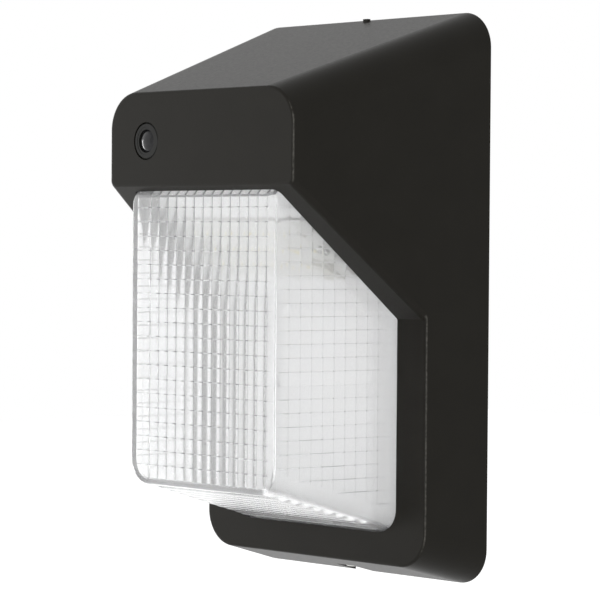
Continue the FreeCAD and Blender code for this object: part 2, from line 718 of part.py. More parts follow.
def spreader_holes():
    """Holes for the panel screws, the board screws and the connector."""
    radius = SCREW_RADIUS + SCREW_HOLE_GAP
    holes = []
    for x, z in panel_boss_positions():
        start = Vector(x, y_at(LIP_DEPTH), z)
        holes.append(rod(radius, start, Vector(x, 0, z)))
    for side in (-1, 1):
        start = Vector(side * EAR_X, y_at(HOUSING_DEPTH), EAR_SCREW_Z)
        holes.append(rod(radius, start, start + Vector(0, 20, 0)))
        start = diagonal_point(side * BOARD_SCREW_X, BOARD_CENTRE, BOARD_FRONT)
        end = diagonal_point(side * BOARD_SCREW_X, BOARD_CENTRE, SPREADER_BACK + CUT)
        holes.append(rod(SCREW_RADIUS, start, end))
    holes.append(connector_hole(CONNECTOR_GAP))
    return holes


def connector_hole(gap):
    """Space through the board and the plates for the connector."""
    x0, x1, a0, a1 = connector_limits()
    return diagonal_block(x0 - gap, x1 + gap, a0 - gap, a1 + gap, BOARD_FRONT - CUT, SPREADER_BACK + CUT)


def connector_limits():
    """X and distance along the diagonal that the connector fills."""
    x1 = BOARD_SCREW_X - SCREW_HEAD_RADIUS - CONNECTOR_LIP - CONNECTOR_GAP
    a0 = BOARD_CENTRE - BOARD_LENGTH / 2 + CONNECTOR_MARGIN
    return x1 - CONNECTOR_WIDTH, x1, a0, a0 + CONNECTOR_LENGTH


def reflector():
    """White sheet that fills the view behind the lens, with a window for the board."""
    sheet = panel_limits(FLANGE_BACK, REFLECTOR_BACK)
    half = BOARD_WIDTH / 2 + BOARD_MARGIN
    reach = BOARD_LENGTH / 2 + BOARD_MARGIN
    window = diagonal_block(-half, half, BOARD_CENTRE - reach, BOARD_CENTRE + reach,
                            FLANGE_BACK - CUT, REFLECTOR_BACK + CUT)
    sheet = sheet.cut(window)
    radius = SCREW_RADIUS + SCREW_HOLE_GAP
    for x, z in panel_boss_positions():
        sheet = sheet.cut(rod(radius, Vector(x, y_at(LIP_DEPTH), z), Vector(x, 0, z)))
    return sheet


def board_layer(offset_from, offset_to):
    """Layer of the board's size, with its screw holes and the connector's opening."""
    half = BOARD_WIDTH / 2
    reach = BOARD_LENGTH / 2
    layer = diagonal_block(-half, half, BOARD_CENTRE - reach, BOARD_CENTRE + reach, offset_from, offset_to)
    for side in (-1, 1):
        start = diagonal_point(side * BOARD_SCREW_X, BOARD_CENTRE, offset_from - CUT)
        end = diagonal_point(side * BOARD_SCREW_X, BOARD_CENTRE, offset_to + CUT)
        layer = layer.cut(rod(SCREW_RADIUS + SCREW_HOLE_GAP, start, end))
    return layer.cut(connector_hole(CONNECTOR_GAP))


def led_chips():
    """Grid of LED packages on the board, clear of the screws and the connector."""
    chips = []
    x0, x1, a0, a1 = connector_limits()
    half = CHIP_SIZE / 2
    for row in range(CHIP_ROWS):
        along = BOARD_CENTRE + (row - (CHIP_ROWS - 1) / 2) * CHIP_PITCH_S
        for column in range(CHIP_COLUMNS):
            x = (column - (CHIP_COLUMNS - 1) / 2) * CHIP_PITCH_X
            blocked = x0 - half < x < x1 + half and a0 - half < along < a1 + half
            if not blocked:
                chips.append(diagonal_block(x - half, x + half, along - half, along + half,
                                            BOARD_FRONT - CHIP_THICK, BOARD_FRONT))
    return chips


def board_screws():
    """Two screws that hold the board to the spreader."""
    inward = diagonal_point(0, 0, 1) - diagonal_point(0, 0, 0)
    length = SPREADER_BACK - BOARD_FRONT
    screws = []
    for side in (-1, 1):
        seat = diagonal_point(side * BOARD_SCREW_X, BOARD_CENTRE, BOARD_FRONT)
        screws.append(screw(seat, inward, SCREW_RADIUS, length, SCREW_HEAD_RADIUS, SCREW_HEAD_THICK))
    return screws


def led_connector():
    """Connector that stands through the board, its tail behind the spreader."""
    x0, x1, a0, a1 = connector_limits()
    back = SPREADER_BACK + CONNECTOR_TAIL
    body = diagonal_block(x0, x1, a0, a1, BOARD_FRONT - CONNECTOR_RISE, back)
    edge = CONNECTOR_LIP
    lip = diagonal_block(x0 - edge, x1 + edge, a0 - edge, a1 + edge, BOARD_FRONT - edge, BOARD_FRONT)
    return body.fuse(lip).removeSplitter()


def spreader_screws():
    """Screws that clamp the spreader, the reflector and the lens to the housing."""
    screws = []
    for x, z in panel_boss_positions():
        seat = Vector(x, y_at(LIP_DEPTH - SPREADER_BACK), z)
        length = SPREADER_BACK - FLANGE_BACK + SCREW_GRIP - SCREW_TIP_GAP
        screws.append(screw(seat, Vector(0, -1, 0), SCREW_RADIUS, length, SCREW_HEAD_RADIUS, SCREW_HEAD_THICK))
    for side in (-1, 1):
        seat = Vector(side * EAR_X, y_at(ear_depth() - SPREADER_THICK / 2), EAR_SCREW_Z)
        length = SPREADER_THICK + SCREW_GRIP
        screws.append(screw(seat, Vector(0, -1, 0), SCREW_RADIUS, length, SCREW_HEAD_RADIUS, SCREW_HEAD_THICK))
    return screws


# ---------------------------------------------------------------- driver
def driver_post_z():
    """Height of the driver's posts, at the middle of its case."""
    return DRIVER_BOTTOM + DRIVER_HEIGHT / 2


def driver_case():
    """Open metal case with a fixing tab at each end."""
    half = DRIVER_WIDTH / 2
    front = y_at(DRIVER_FRONT_DEPTH)
    back = y_at(DRIVER_FRONT_DEPTH - DRIVER_THICK + DRIVER_COVER_THICK)
    top = DRIVER_BOTTOM + DRIVER_HEIGHT
    case = box(-half, half, front, back, DRIVER_BOTTOM, top)
    hollow = box(-half + DRIVER_WALL, half - DRIVER_WALL, front + DRIVER_WALL, back + CUT,
                 DRIVER_BOTTOM + DRIVER_WALL, top - DRIVER_WALL)
    case = case.cut(hollow)
    middle = driver_post_z()
    for side in (-1, 1):
        inner = side * (half - DRIVER_WALL)
        outer = side * (half + DRIVER_TAB)
        tab = box(inner, outer, front, front + DRIVER_WALL, middle - DRIVER_TAB_WIDTH / 2,
                  middle + DRIVER_TAB_WIDTH / 2)
        hole = rod(SCREW_RADIUS + SCREW_HOLE_GAP, Vector(side * DRIVER_POST_X, front - CUT, middle),
                   Vector(side * DRIVER_POST_X, front + DRIVER_WALL + CUT, middle))
        case = case.fuse(tab).cut(hole)
    hole_radius = LEAD_RADIUS + LEAD_HOLE_GAP
    for side, ways in ((-1, TERMINAL_WAYS), (1, LED_WAYS)):
        for way in range(ways):
            start, end = end_lead(side, way)
            case = case.cut(rod(hole_radius, start, end))
    for way in range(LED_WAYS):
        start = Vector(photocell_lead_x(way), photocell_entry_y(), DRIVER_BOTTOM - CUT)
        case = case.cut(rod(hole_radius, start, start + Vector(0, 0, DRIVER_WALL + 2 * CUT)))
    return case.removeSplitter()


def lead_y():
    """Y of the leads where they leave the driver."""
    return y_at(DRIVER_FRONT_DEPTH - DRIVER_THICK / 2)


def driver_cover():
    """Flat cover that closes the case's back."""
    half = DRIVER_WIDTH / 2
    back = y_at(DRIVER_FRONT_DEPTH - DRIVER_THICK)
    return box(-half, half, back - DRIVER_COVER_THICK, back, DRIVER_BOTTOM, DRIVER_BOTTOM + DRIVER_HEIGHT)


def driver_board():
    """Circuit board of the driver with its feet, transformer, capacitors and regulator."""
    half = DRIVER_WIDTH / 2 - DRIVER_WALL - DRIVER_BOARD_MARGIN
    front = y_at(DRIVER_FRONT_DEPTH) + DRIVER_WALL
    face = front + DRIVER_BOARD_STANDOFF
    rear = face + DRIVER_BOARD_THICK
    middle = driver_post_z()
    reach = DRIVER_HEIGHT / 2 - DRIVER_WALL - DRIVER_BOARD_GAP
    parts = [box(-half, half, face, rear, middle - reach, middle + reach)]
    foot = DRIVER_FOOT / 2
    for side in (-1, 1):
        x = side * (half - DRIVER_FOOT)
        parts.append(box(x - foot, x + foot, front, face, middle - foot, middle + foot))
        base = Vector(side * CAPACITOR_X, rear, middle + CAPACITOR_Z)
        parts.append(rod(CAPACITOR_RADIUS, base, base + Vector(0, CAPACITOR_RISE, 0)))
    parts.append(box(-TRANSFORMER_WIDTH / 2, TRANSFORMER_WIDTH / 2, rear, rear + TRANSFORMER_RISE,
                     middle - TRANSFORMER_HEIGHT / 2, middle + TRANSFORMER_HEIGHT / 2))
    low = middle - reach + DRIVER_BOARD_GAP
    parts.append(box(CAPACITOR_X - REGULATOR_WIDTH / 2, CAPACITOR_X + REGULATOR_WIDTH / 2,
                     rear, rear + REGULATOR_RISE, low, low + REGULATOR_HEIGHT))
    return fuse(parts)


def driver_screws():
    """Two screws through the tabs into the housing's posts."""
    screws = []
    for side in (-1, 1):
        seat = Vector(side * DRIVER_POST_X, y_at(DRIVER_FRONT_DEPTH) + DRIVER_WALL, driver_post_z())
        length = DRIVER_WALL + SCREW_GRIP
        screws.append(screw(seat, Vector(0, -1, 0), SCREW_RADIUS, length, SCREW_HEAD_RADIUS, SCREW_HEAD_THICK))
    return screws


# ---------------------------------------------------------------- photocell
def photocell_axis(depth):
    """Point on the photocell's axis at a depth."""
    return Vector(PHOTOCELL_X, y_at(depth), PHOTOCELL_Z)


def photocell_body():
    """Barrel behind the face with a neck that comes through it."""
    inner_face = HOUSING_DEPTH - WALL
    shoulder = inner_face - PHOTOCELL_WASHER_THICK
    barrel = rod(PHOTOCELL_BARREL_RADIUS, photocell_axis(shoulder),
                 photocell_axis(shoulder - PHOTOCELL_BARREL_LENGTH))
    neck_tip = HOUSING_DEPTH - PHOTOCELL_NECK_SETBACK
    neck = rod(PHOTOCELL_NECK_RADIUS, photocell_axis(shoulder), photocell_axis(neck_tip))
    socket = rod(PHOTOCELL_DOME_RADIUS, photocell_axis(neck_tip - PHOTOCELL_DOME_RISE),
                 photocell_axis(neck_tip + CUT))
    return barrel.fuse(neck).removeSplitter().cut(socket)


def photocell_dome():
    """Smoked dome seated in the neck."""
    seat = HOUSING_DEPTH - PHOTOCELL_NECK_SETBACK - PHOTOCELL_DOME_RISE
    radius = PHOTOCELL_DOME_RADIUS - PHOTOCELL_DOME_GAP
    rise = PHOTOCELL_DOME_RISE
    sphere_radius = (radius ** 2 + rise ** 2) / (2 * rise)
    shoulder = seat + PHOTOCELL_DOME_BASE
    base = rod(radius, photocell_axis(seat), photocell_axis(shoulder))
    ball = Part.makeSphere(sphere_radius, photocell_axis(shoulder + rise - sphere_radius))
    cap = ball.common(rod(radius, photocell_axis(shoulder), photocell_axis(shoulder + rise + CUT)))
    return base.fuse(cap).removeSplitter()


def photocell_bezel():
    """Ring nut on the neck, sunk in the face's recess."""
    back = HOUSING_DEPTH - PHOTOCELL_RECESS
    front = HOUSING_DEPTH - BEZEL_SETBACK
    ring = rod(PHOTOCELL_RECESS_RADIUS - BEZEL_GAP, photocell_axis(back), photocell_axis(front))
    ring = ring.makeChamfer(BEZEL_CHAMFER, edges_where(ring, lambda p: abs(p.y - y_at(front)) < 0.01))
    bore = rod(PHOTOCELL_NECK_RADIUS, photocell_axis(back - CUT), photocell_axis(front + CUT))
    return ring.cut(bore)


def photocell_washer():
    """Rubber washer between the barrel and the housing's face."""
    front = HOUSING_DEPTH - WALL
    back = front - PHOTOCELL_WASHER_THICK
    ring = rod(PHOTOCELL_BARREL_RADIUS - BEZEL_CHAMFER, photocell_axis(back), photocell_axis(front))
    return ring.cut(rod(PHOTOCELL_NECK_RADIUS, photocell_axis(back - CUT), photocell_axis(front + CUT)))


# ---------------------------------------------------------------- wiring
def terminal_front_y():
    """Y of the spreader's back face, which carries the terminal block."""
    return y_at(LIP_DEPTH - SPREADER_BACK)


def terminal_x(way):
    """X of one way of the terminal block."""
    return (way - (TERMINAL_WAYS - 1) / 2) * TERMINAL_WIDTH / TERMINAL_WAYS


def terminal_block():
    """Three-way terminal block on the spreader's lower panel."""
    front = terminal_front_y()
    back = front + TERMINAL_THICK
    half = TERMINAL_WIDTH / 2
    low = TERMINAL_Z - TERMINAL_HEIGHT / 2
    high = TERMINAL_Z + TERMINAL_HEIGHT / 2
    block = box(-half, half, front, back, low, high)
    middle = front + TERMINAL_THICK / 2
    for way in range(TERMINAL_WAYS):
        x = terminal_x(way)
        for edge, inward in ((low, 1), (high, -1)):
            mouth = Vector(x, middle, edge - inward * CUT)
            reach = Vector(0, 0, inward * (TERMINAL_GRIP + CUT))
            block = block.cut(rod(LEAD_RADIUS + LEAD_HOLE_GAP / 2, mouth, mouth + reach))
        seat = terminal_screw_seat(way)
        radius = TERMINAL_SCREW_RADIUS + TERMINAL_SCREW_GAP
        block = block.cut(rod(radius, seat, Vector(x, back + CUT, TERMINAL_Z)))
    return block


def terminal_screw_seat(way):
    """Bottom of a clamp screw's hole in the terminal block."""
    sunk = TERMINAL_SCREW_LENGTH + TERMINAL_SCREW_SUNK
    return Vector(terminal_x(way), terminal_front_y() + TERMINAL_THICK - sunk, TERMINAL_Z)


def terminal_screws():
    """Clamp screws of the terminal block."""
    screws = []
    half = TERMINAL_SLOT_WIDTH / 2
    for way in range(TERMINAL_WAYS):
        seat = terminal_screw_seat(way)
        top = seat.y + TERMINAL_SCREW_LENGTH
        body = rod(TERMINAL_SCREW_RADIUS, seat, Vector(seat.x, top, seat.z))
        reach = TERMINAL_SCREW_RADIUS - TERMINAL_SLOT_WIDTH / 2
        slot = box(seat.x - reach, seat.x + reach, top - TERMINAL_SLOT_WIDTH, top + CUT,
                   seat.z - half, seat.z + half)
        screws.append(body.cut(slot))
    return screws


def end_lead(side, way):
    """First points of a lead: out of the driver's end, and clear of the leads below it."""
    half = DRIVER_WIDTH / 2
    z = DRIVER_BOTTOM + LEAD_EXIT_RISE + way * LEAD_PITCH
    reach = half + LEAD_REACH + way * LEAD_PITCH
    return [Vector(side * (half - DRIVER_WALL), lead_y(), z), Vector(side * reach, lead_y(), z)]


def line_leads():
    """Leads from the driver's left end down to the terminal block."""
    middle = terminal_front_y() + TERMINAL_THICK / 2
    top = TERMINAL_Z + TERMINAL_HEIGHT / 2
    leads = []
    for way in range(TERMINAL_WAYS):
        points = end_lead(-1, way)
        down = terminal_x(TERMINAL_WAYS - 1 - way)
        points.append(Vector(points[-1].x, middle, LINE_TURN_Z))
        points.append(Vector(down, middle, top + LINE_DROP))
        points.append(Vector(down, middle, top - TERMINAL_GRIP + LEAD_HOLE_GAP))
        leads.append(lead(points))
    return leads


def led_leads():
    """Leads from the driver's right end to the connector behind the board."""
    x0, x1, a0, a1 = connector_limits()
    x = (x0 + x1) / 2
    leads = []
    for way in range(LED_WAYS):
        points = end_lead(1, way)
        along = (a0 + a1) / 2 - (way - (LED_WAYS - 1) / 2) * LEAD_PITCH
        rise = diagonal_point(x, along, SPREADER_BACK + CONNECTOR_TAIL + LED_LEAD_RISE)
        points.append(Vector(points[-1].x, rise.y, rise.z + LED_LEAD_RISE))
        points.append(rise)
        points.append(diagonal_point(x, along, SPREADER_BACK + CONNECTOR_TAIL))
        leads.append(lead(points))
    return leads


def photocell_lead_x(way):
    """X of one of the photocell's two leads."""
    return PHOTOCELL_X + (way - (LED_WAYS - 1) / 2) * PHOTOCELL_BARREL_RADIUS / 2


def photocell_leads():
    """Leads from the photocell's barrel, round under the driver and up into it."""
    back = y_at(HOUSING_DEPTH - WALL - PHOTOCELL_WASHER_THICK - PHOTOCELL_BARREL_LENGTH)
    front = y_at(DRIVER_FRONT_DEPTH)
    lane = (back + front) / 2
    start_z = PHOTOCELL_Z - PHOTOCELL_BARREL_RADIUS / 2
    low = DRIVER_BOTTOM - PHOTOCELL_LEAD_DROP
    leads = []
    for way in range(LED_WAYS):
        x = photocell_lead_x(way)
        entry = photocell_entry_y()
        leads.append(lead([Vector(x, back, start_z), Vector(x, lane, start_z), Vector(x, lane, low),
                           Vector(x, entry, low), Vector(x, entry, DRIVER_BOTTOM + DRIVER_WALL)]))
    return leads


def photocell_entry_y():
    """Y where the photocell's leads go up into the driver."""
    return y_at(DRIVER_FRONT_DEPTH - PHOTOCELL_ENTRY)


# ---------------------------------------------------------------- mounting plate
def plate_half_width():
    """Half the plate's width, clear of the housing's side walls."""
    return HOUSING_WIDTH / 2 - WALL - PLATE_SIDE_GAP


def wall_hole_positions():
    """X and Z of the four wall holes."""
    return [(side * WALL_HOLE_X, way * WALL_HOLE_Z) for side in (-1, 1) for way in (-1, 1)]


def box_slots(y0, y1, grow):
    """Blocks of the four junction-box slots or of the pads around them."""
    radius = BOX_SLOT_RADIUS + grow
    length = BOX_SLOT_LENGTH + 2 * grow
    shapes = []
    for side in (-1, 1):
        centre = Vector(side * BOX_SLOT_SPACING_X / 2, 0, 0)
        shapes.append(stadium(y0, y1, centre, length, radius, True))
        centre = Vector(0, 0, side * BOX_SLOT_SPACING_Z / 2)
        shapes.append(stadium(y0, y1, centre, length, radius, False))
    return shapes


def hook(x):
    """Hook on the plate's top edge that carries one hanger bar."""
    inner = HANGER_RADIUS + HANGER_GAP
    outer = inner + HOOK_THICK
    start = Vector(x - HOOK_WIDTH / 2, PIVOT_Y, PIVOT_Z)
    along = Vector(HOOK_WIDTH, 0, 0)
    ring = rod(outer, start, start + along)
    back = box(start.x, start.x + HOOK_WIDTH, PIVOT_Y, y_at(0), PIVOT_Z - outer, PIVOT_Z)
    body = ring.fuse(back).cut(rod(inner, start, start + along))
    above = box(start.x, start.x + HOOK_WIDTH, PIVOT_Y - outer, y_at(-CUT),
                PIVOT_Z - HOOK_MOUTH, PIVOT_Z + outer)
    return body.cut(above)


def back_plate():
    """Mounting plate with its wall pads, slots, hooks and lock tab."""
    half = plate_half_width()
    front = y_at(PLATE_THICK)
    back = y_at(0)
    plate = rounded_plate(front, back, -half, half, PLATE_BOTTOM, PLATE_TOP, PLATE_CORNER_RADIUS)
    notch = LOCK_POCKET_WIDTH / 2 + WALL + LOCK_TAB_NOTCH_GAP
    plate = plate.cut(box(-notch, notch, front - CUT, back + CUT, PLATE_BOTTOM - CUT, LOCK_TAB_BOTTOM))
    pads = [rod(WALL_PAD_RADIUS, Vector(x, back, z), Vector(x, 0, z)) for x, z in wall_hole_positions()]
    pads += box_slots(back, 0, BOX_PAD_RADIUS - BOX_SLOT_RADIUS)
    half_tab = LOCK_TAB_WIDTH / 2
    tab = box(-half_tab, half_tab, back, LOCK_Y - LOCK_TAB_REACH,
              LOCK_TAB_BOTTOM, LOCK_TAB_BOTTOM + PLATE_THICK)
    hooks = [hook(-HOOK_X), hook(HOOK_X)]
    plate = fuse([plate, tab] + pads + hooks)
    holes = [rod(WALL_HOLE_RADIUS, Vector(x, front, z), Vector(x, 0, z)) for x, z in wall_hole_positions()]
    holes += box_slots(front, 0, 0)
    holes.append(rod(ENTRY_HOLE_RADIUS, Vector(0, front, 0), Vector(0, back, 0)))
    thread = LOCK_SHANK_RADIUS + LOCK_THREAD_GAP
    holes.append(rod(thread, Vector(0, LOCK_Y, LOCK_TAB_BOTTOM - CUT),
                     Vector(0, LOCK_Y, LOCK_TAB_BOTTOM + PLATE_THICK + CUT)))
    holes.append(rod(SCREW_RADIUS, Vector(GROUND_SCREW_X, front, GROUND_SCREW_Z),
                     Vector(GROUND_SCREW_X, back, GROUND_SCREW_Z)))
    return plate.cut(Part.makeCompound(holes))


def wall_gasket():
    """Foam gasket between the plate and the wall, outside all the holes."""
    half_x = WALL_GASKET_HALF_WIDTH
    half_z = WALL_GASKET_HALF_HEIGHT
    width = WALL_GASKET_WIDTH
    outer = rounded_plate(y_at(0), 0, -half_x, half_x, -half_z, half_z, WALL_GASKET_RADIUS)
    inner = rounded_plate(y_at(0), 0, -half_x + width, half_x - width, -half_z + width, half_z - width,
                          WALL_GASKET_RADIUS - width)
    return outer.cut(inner)


def cable_grommet():
    """Rubber grommet in the cable entry, flanged on both sides of the plate."""
    front = y_at(PLATE_THICK)
    back = y_at(0)
    flange = ENTRY_HOLE_RADIUS + GROMMET_FLANGE
    parts = [rod(ENTRY_HOLE_RADIUS, Vector(0, front, 0), Vector(0, back, 0)),
             rod(flange, Vector(0, front - GROMMET_FLANGE_THICK, 0), Vector(0, front, 0)),
             rod(flange, Vector(0, back, 0), Vector(0, 0, 0))]
    bore = rod(GROMMET_BORE_RADIUS, Vector(0, front - GROMMET_FLANGE_THICK, 0), Vector(0, 0, 0))
    return fuse(parts).cut(bore)


def ground_screw():
    """Green grounding screw in the plate."""
    seat = Vector(GROUND_SCREW_X, y_at(PLATE_THICK), GROUND_SCREW_Z)
    return screw(seat, Vector(0, 1, 0), SCREW_RADIUS, PLATE_THICK + STANDOFF / 2,
                 GROUND_HEAD_RADIUS, SCREW_HEAD_THICK)


def lock_screw():
    """Locking screw, up through the housing's slot into the plate's tab."""
    seat = Vector(0, LOCK_Y, LOCK_SEAT_Z - SEAL_GAP - LOCK_WASHER_THICK)
    length = LOCK_TAB_BOTTOM + PLATE_THICK + LOCK_SHANK_PROUD - seat.z
    return screw(seat, Vector(0, 0, 1), LOCK_SHANK_RADIUS, length, LOCK_HEAD_RADIUS, LOCK_HEAD_THICK)


def lock_washer():
    """Washer between the locking screw's head and the housing."""
    top = LOCK_SEAT_Z - SEAL_GAP
    low = top - LOCK_WASHER_THICK
    ring = rod(LOCK_WASHER_RADIUS, Vector(0, LOCK_Y, low), Vector(0, LOCK_Y, top))
    return ring.cut(rod(LOCK_SHANK_RADIUS, Vector(0, LOCK_Y, low - CUT), Vector(0, LOCK_Y, top + CUT)))


def main():
    """Build every node and write it."""
    os.makedirs("parts", exist_ok=True)
    write("housing_shell", [housing_shell()])
    write("housing_seal", [housing_seal()])
    write("lens", [lens()])
    write("lens_gasket", [lens_gasket()])
    write("reflector", [reflector()])
    write("heat_spreader", [heat_spreader()])
    write("spreader_screws", spreader_screws())
    write("thermal_pad", [board_layer(BOARD_BACK, REFLECTOR_BACK)])
    write("led_board", [board_layer(BOARD_FRONT, BOARD_BACK)])
    write("led_chips", led_chips())
    write("led_board_screws", board_screws())
    write("led_connector", [led_connector()])
    write("driver_case", [driver_case()])
    write("driver_cover", [driver_cover()])
    write("driver_board", [driver_board()])
    write("driver_screws", driver_screws())
    write("photocell_body", [photocell_body()])
    write("photocell_dome", [photocell_dome()])
    write("photocell_bezel", [photocell_bezel()])
    write("photocell_washer", [photocell_washer()])
    write("terminal_block", [terminal_block()])
    write("terminal_screws", terminal_screws())
    write("line_leads", line_leads())
    write("led_leads", led_leads())
    write("photocell_leads", photocell_leads())
    write("back_plate", [back_plate()])
    write("wall_gasket", [wall_gasket()])
    write("cable_grommet", [cable_grommet()])
    write("ground_screw", [ground_screw()])
    write("lock_screw", [lock_screw()])
    write("lock_washer", [lock_washer()])


main()
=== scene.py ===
"""Looks of an LED wall pack light with a clear ribbed lens and a button photocell.

Everything is in metres in the part's own frame: +X to the viewer's right, +Y into the wall, +Z up.
The wall plane is y = 0. A "depth" is measured from the housing's rim towards the viewer.
"""
import sys
import json
import logging
import math
from dataclasses import dataclass, field
from enum import Enum
from typing import Callable, Iterable, Iterator, Sequence

import bmesh
import bpy
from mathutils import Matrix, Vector

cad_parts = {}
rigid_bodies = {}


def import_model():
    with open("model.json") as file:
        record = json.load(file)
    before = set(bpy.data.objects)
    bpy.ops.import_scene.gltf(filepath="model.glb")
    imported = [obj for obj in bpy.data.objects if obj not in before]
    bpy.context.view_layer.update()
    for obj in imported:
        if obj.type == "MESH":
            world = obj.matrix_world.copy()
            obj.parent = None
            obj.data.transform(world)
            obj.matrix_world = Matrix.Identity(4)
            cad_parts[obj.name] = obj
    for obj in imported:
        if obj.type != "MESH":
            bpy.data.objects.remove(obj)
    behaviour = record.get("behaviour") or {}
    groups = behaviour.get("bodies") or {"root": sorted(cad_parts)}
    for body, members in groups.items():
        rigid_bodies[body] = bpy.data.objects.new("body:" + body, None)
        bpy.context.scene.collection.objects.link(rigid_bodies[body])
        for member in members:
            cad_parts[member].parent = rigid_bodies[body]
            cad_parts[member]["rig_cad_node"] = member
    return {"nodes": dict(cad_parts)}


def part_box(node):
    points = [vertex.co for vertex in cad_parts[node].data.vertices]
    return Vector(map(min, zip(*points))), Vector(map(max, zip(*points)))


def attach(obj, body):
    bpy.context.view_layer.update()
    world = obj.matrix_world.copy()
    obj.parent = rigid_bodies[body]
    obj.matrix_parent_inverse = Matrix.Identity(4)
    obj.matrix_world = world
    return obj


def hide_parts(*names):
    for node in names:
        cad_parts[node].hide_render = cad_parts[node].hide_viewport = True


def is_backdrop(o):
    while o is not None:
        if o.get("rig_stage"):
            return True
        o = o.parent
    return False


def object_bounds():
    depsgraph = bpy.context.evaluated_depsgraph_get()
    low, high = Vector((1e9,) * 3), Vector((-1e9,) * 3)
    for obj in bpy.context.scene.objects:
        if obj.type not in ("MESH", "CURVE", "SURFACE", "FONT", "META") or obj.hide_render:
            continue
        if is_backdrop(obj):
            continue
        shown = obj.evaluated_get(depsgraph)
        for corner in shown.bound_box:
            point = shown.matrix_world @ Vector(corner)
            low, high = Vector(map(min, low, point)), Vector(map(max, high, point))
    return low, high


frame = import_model()

LOG = logging.getLogger("wall_pack")
MM = 0.001
# Places this near each other are the same.
SAME = 1e-6
# A point this near a slanting face lies on it.
NEAR = 10 * SAME
# Vertices this near each other are merged once a mesh is finished.
CLOSE = 0.004 * MM
# Least cosine between the normals of two faces in one plane.
FLAT = 1 - 1e-7
# Least cosine between a face's normal and the direction it faces.
FACING = 0.9
# Sharpest angle, in degrees, that is shaded smooth.
CREASE = 28.0

X_AXIS = Vector((1, 0, 0))
Y_AXIS = Vector((0, 1, 0))
Z_AXIS = Vector((0, 0, 1))
OUTWARD = Vector((0, -1, 0))

Test = Callable[[Vector], bool]
Seat = tuple[Vector, Vector]
Item = bmesh.types.BMVert | bmesh.types.BMEdge | bmesh.types.BMFace


class Body(Enum):
    """The three rigid bodies of the light."""

    PLATE = "wall_plate"
    HOUSING = "housing"
    LOCK = "lock_screw"


class Element(Enum):
    """What is selected in edit mode."""

    VERTS = "VERT"
    EDGES = "EDGE"
    FACES = "FACE"


# ---------------------------------------------------------------- modelling helpers
def deselect_all() -> None:
    """Deselect every object and leave edit mode."""
    if bpy.context.mode != "OBJECT":
        bpy.ops.object.mode_set(mode="OBJECT")
    bpy.ops.object.select_all(action="DESELECT")


def activate(obj: bpy.types.Object) -> None:
    """Make one object the only selected and the active one."""
    deselect_all()
    obj.select_set(True)
    bpy.context.view_layer.objects.active = obj


def settle(obj: bpy.types.Object) -> bpy.types.Object:
    """Put an object's place, turn and scale into its mesh.

    Args:
        obj: The mesh object.

    Returns:
        The same object, at the origin.
    """
    activate(obj)
    bpy.ops.object.transform_apply(location=True, rotation=True, scale=True)
    return obj


def edit(obj: bpy.types.Object, element: Element = Element.VERTS) -> None:
    """Enter edit mode on an object with nothing selected."""
    activate(obj)
    bpy.ops.object.mode_set(mode="EDIT")
    bpy.ops.mesh.select_mode(type=element.value)
    bpy.ops.mesh.select_all(action="DESELECT")


def leave_edit() -> None:
    """Leave edit mode."""
    bpy.ops.object.mode_set(mode="OBJECT")


def edit_mesh() -> bmesh.types.BMesh:
    """Mesh of the object in edit mode."""
    return bmesh.from_edit_mesh(bpy.context.edit_object.data)


def update_edit_mesh() -> None:
    """Pass changes to the mesh in edit mode on to Blender."""
    bmesh.update_edit_mesh(bpy.context.edit_object.data)


def pick(element: Element, test: Callable[[Item], bool]) -> None:
    """Select, in edit mode, the vertices, edges or faces that pass a test, and nothing else.

    Args:
        element: Which of the three are selected.
        test: Says whether one counts.
    """
    bpy.ops.mesh.select_mode(type=element.value)
    bpy.ops.mesh.select_all(action="DESELECT")
    mesh = edit_mesh()
    for item in [i for i in getattr(mesh, element.name.lower()) if test(i)]:
        item.select_set(True)
    mesh.select_flush_mode()
    update_edit_mesh()


def pick_points(test: Test) -> None:
    """Select, in edit mode, the vertices whose places pass a test, and nothing else."""
    pick(Element.VERTS, lambda vert: test(vert.co))


def pick_edges(at: Test, between: Callable[[Vector, Vector], bool]) -> None:
    """Select, in edit mode, the edges whose ends pass two tests, and nothing else.

    Args:
        at: Test of each end.
        between: Test of the two ends together.
    """
    pick(Element.EDGES, lambda edge: all(at(v.co) for v in edge.verts)
         and between(*(v.co for v in edge.verts)))


def runs_back(start: Vector, end: Vector) -> bool:
    """Whether a line runs more into the wall than across."""
    return abs(end.x - start.x) < abs(end.y - start.y)


def pick_open_end() -> None:
    """Select, in edit mode, the edges that have one face only."""
    bpy.ops.mesh.select_non_manifold(extend=False, use_wire=False, use_multi_face=False,
                                     use_non_contiguous=False)


def slice_at(point: Vector, normal: Vector, clear: bool = False, fill: bool = False) -> None:
    """Cut the whole mesh with a plane, in edit mode.

    Args:
        point: A point on the plane.
        normal: The plane's normal.
        clear: Whether what lies on the normal's side is removed.
        fill: Whether the cut is closed with a face.
    """
    bpy.ops.mesh.select_all(action="SELECT")
    bpy.ops.mesh.bisect(plane_co=point, plane_no=normal, clear_outer=clear, use_fill=fill)


def slice_along(axis: Vector, places: Iterable[float]) -> None:
    """Cut the whole mesh at places along an axis, in edit mode."""
    for place in places:
        slice_at(axis * place, axis)


def add_block(name: str, low: Vector, high: Vector) -> bpy.types.Object:
    """Add a block between two corners.

    Args:
        name: The object's name.
        low: Lowest corner.
        high: Highest corner.

    Returns:
        The block, at the origin with its place in its mesh.
    """
    deselect_all()
    bpy.ops.mesh.primitive_cube_add(size=1, location=(low + high) / 2)
    obj = bpy.context.active_object
    obj.name = name
    obj.scale = high - low
    return settle(obj)


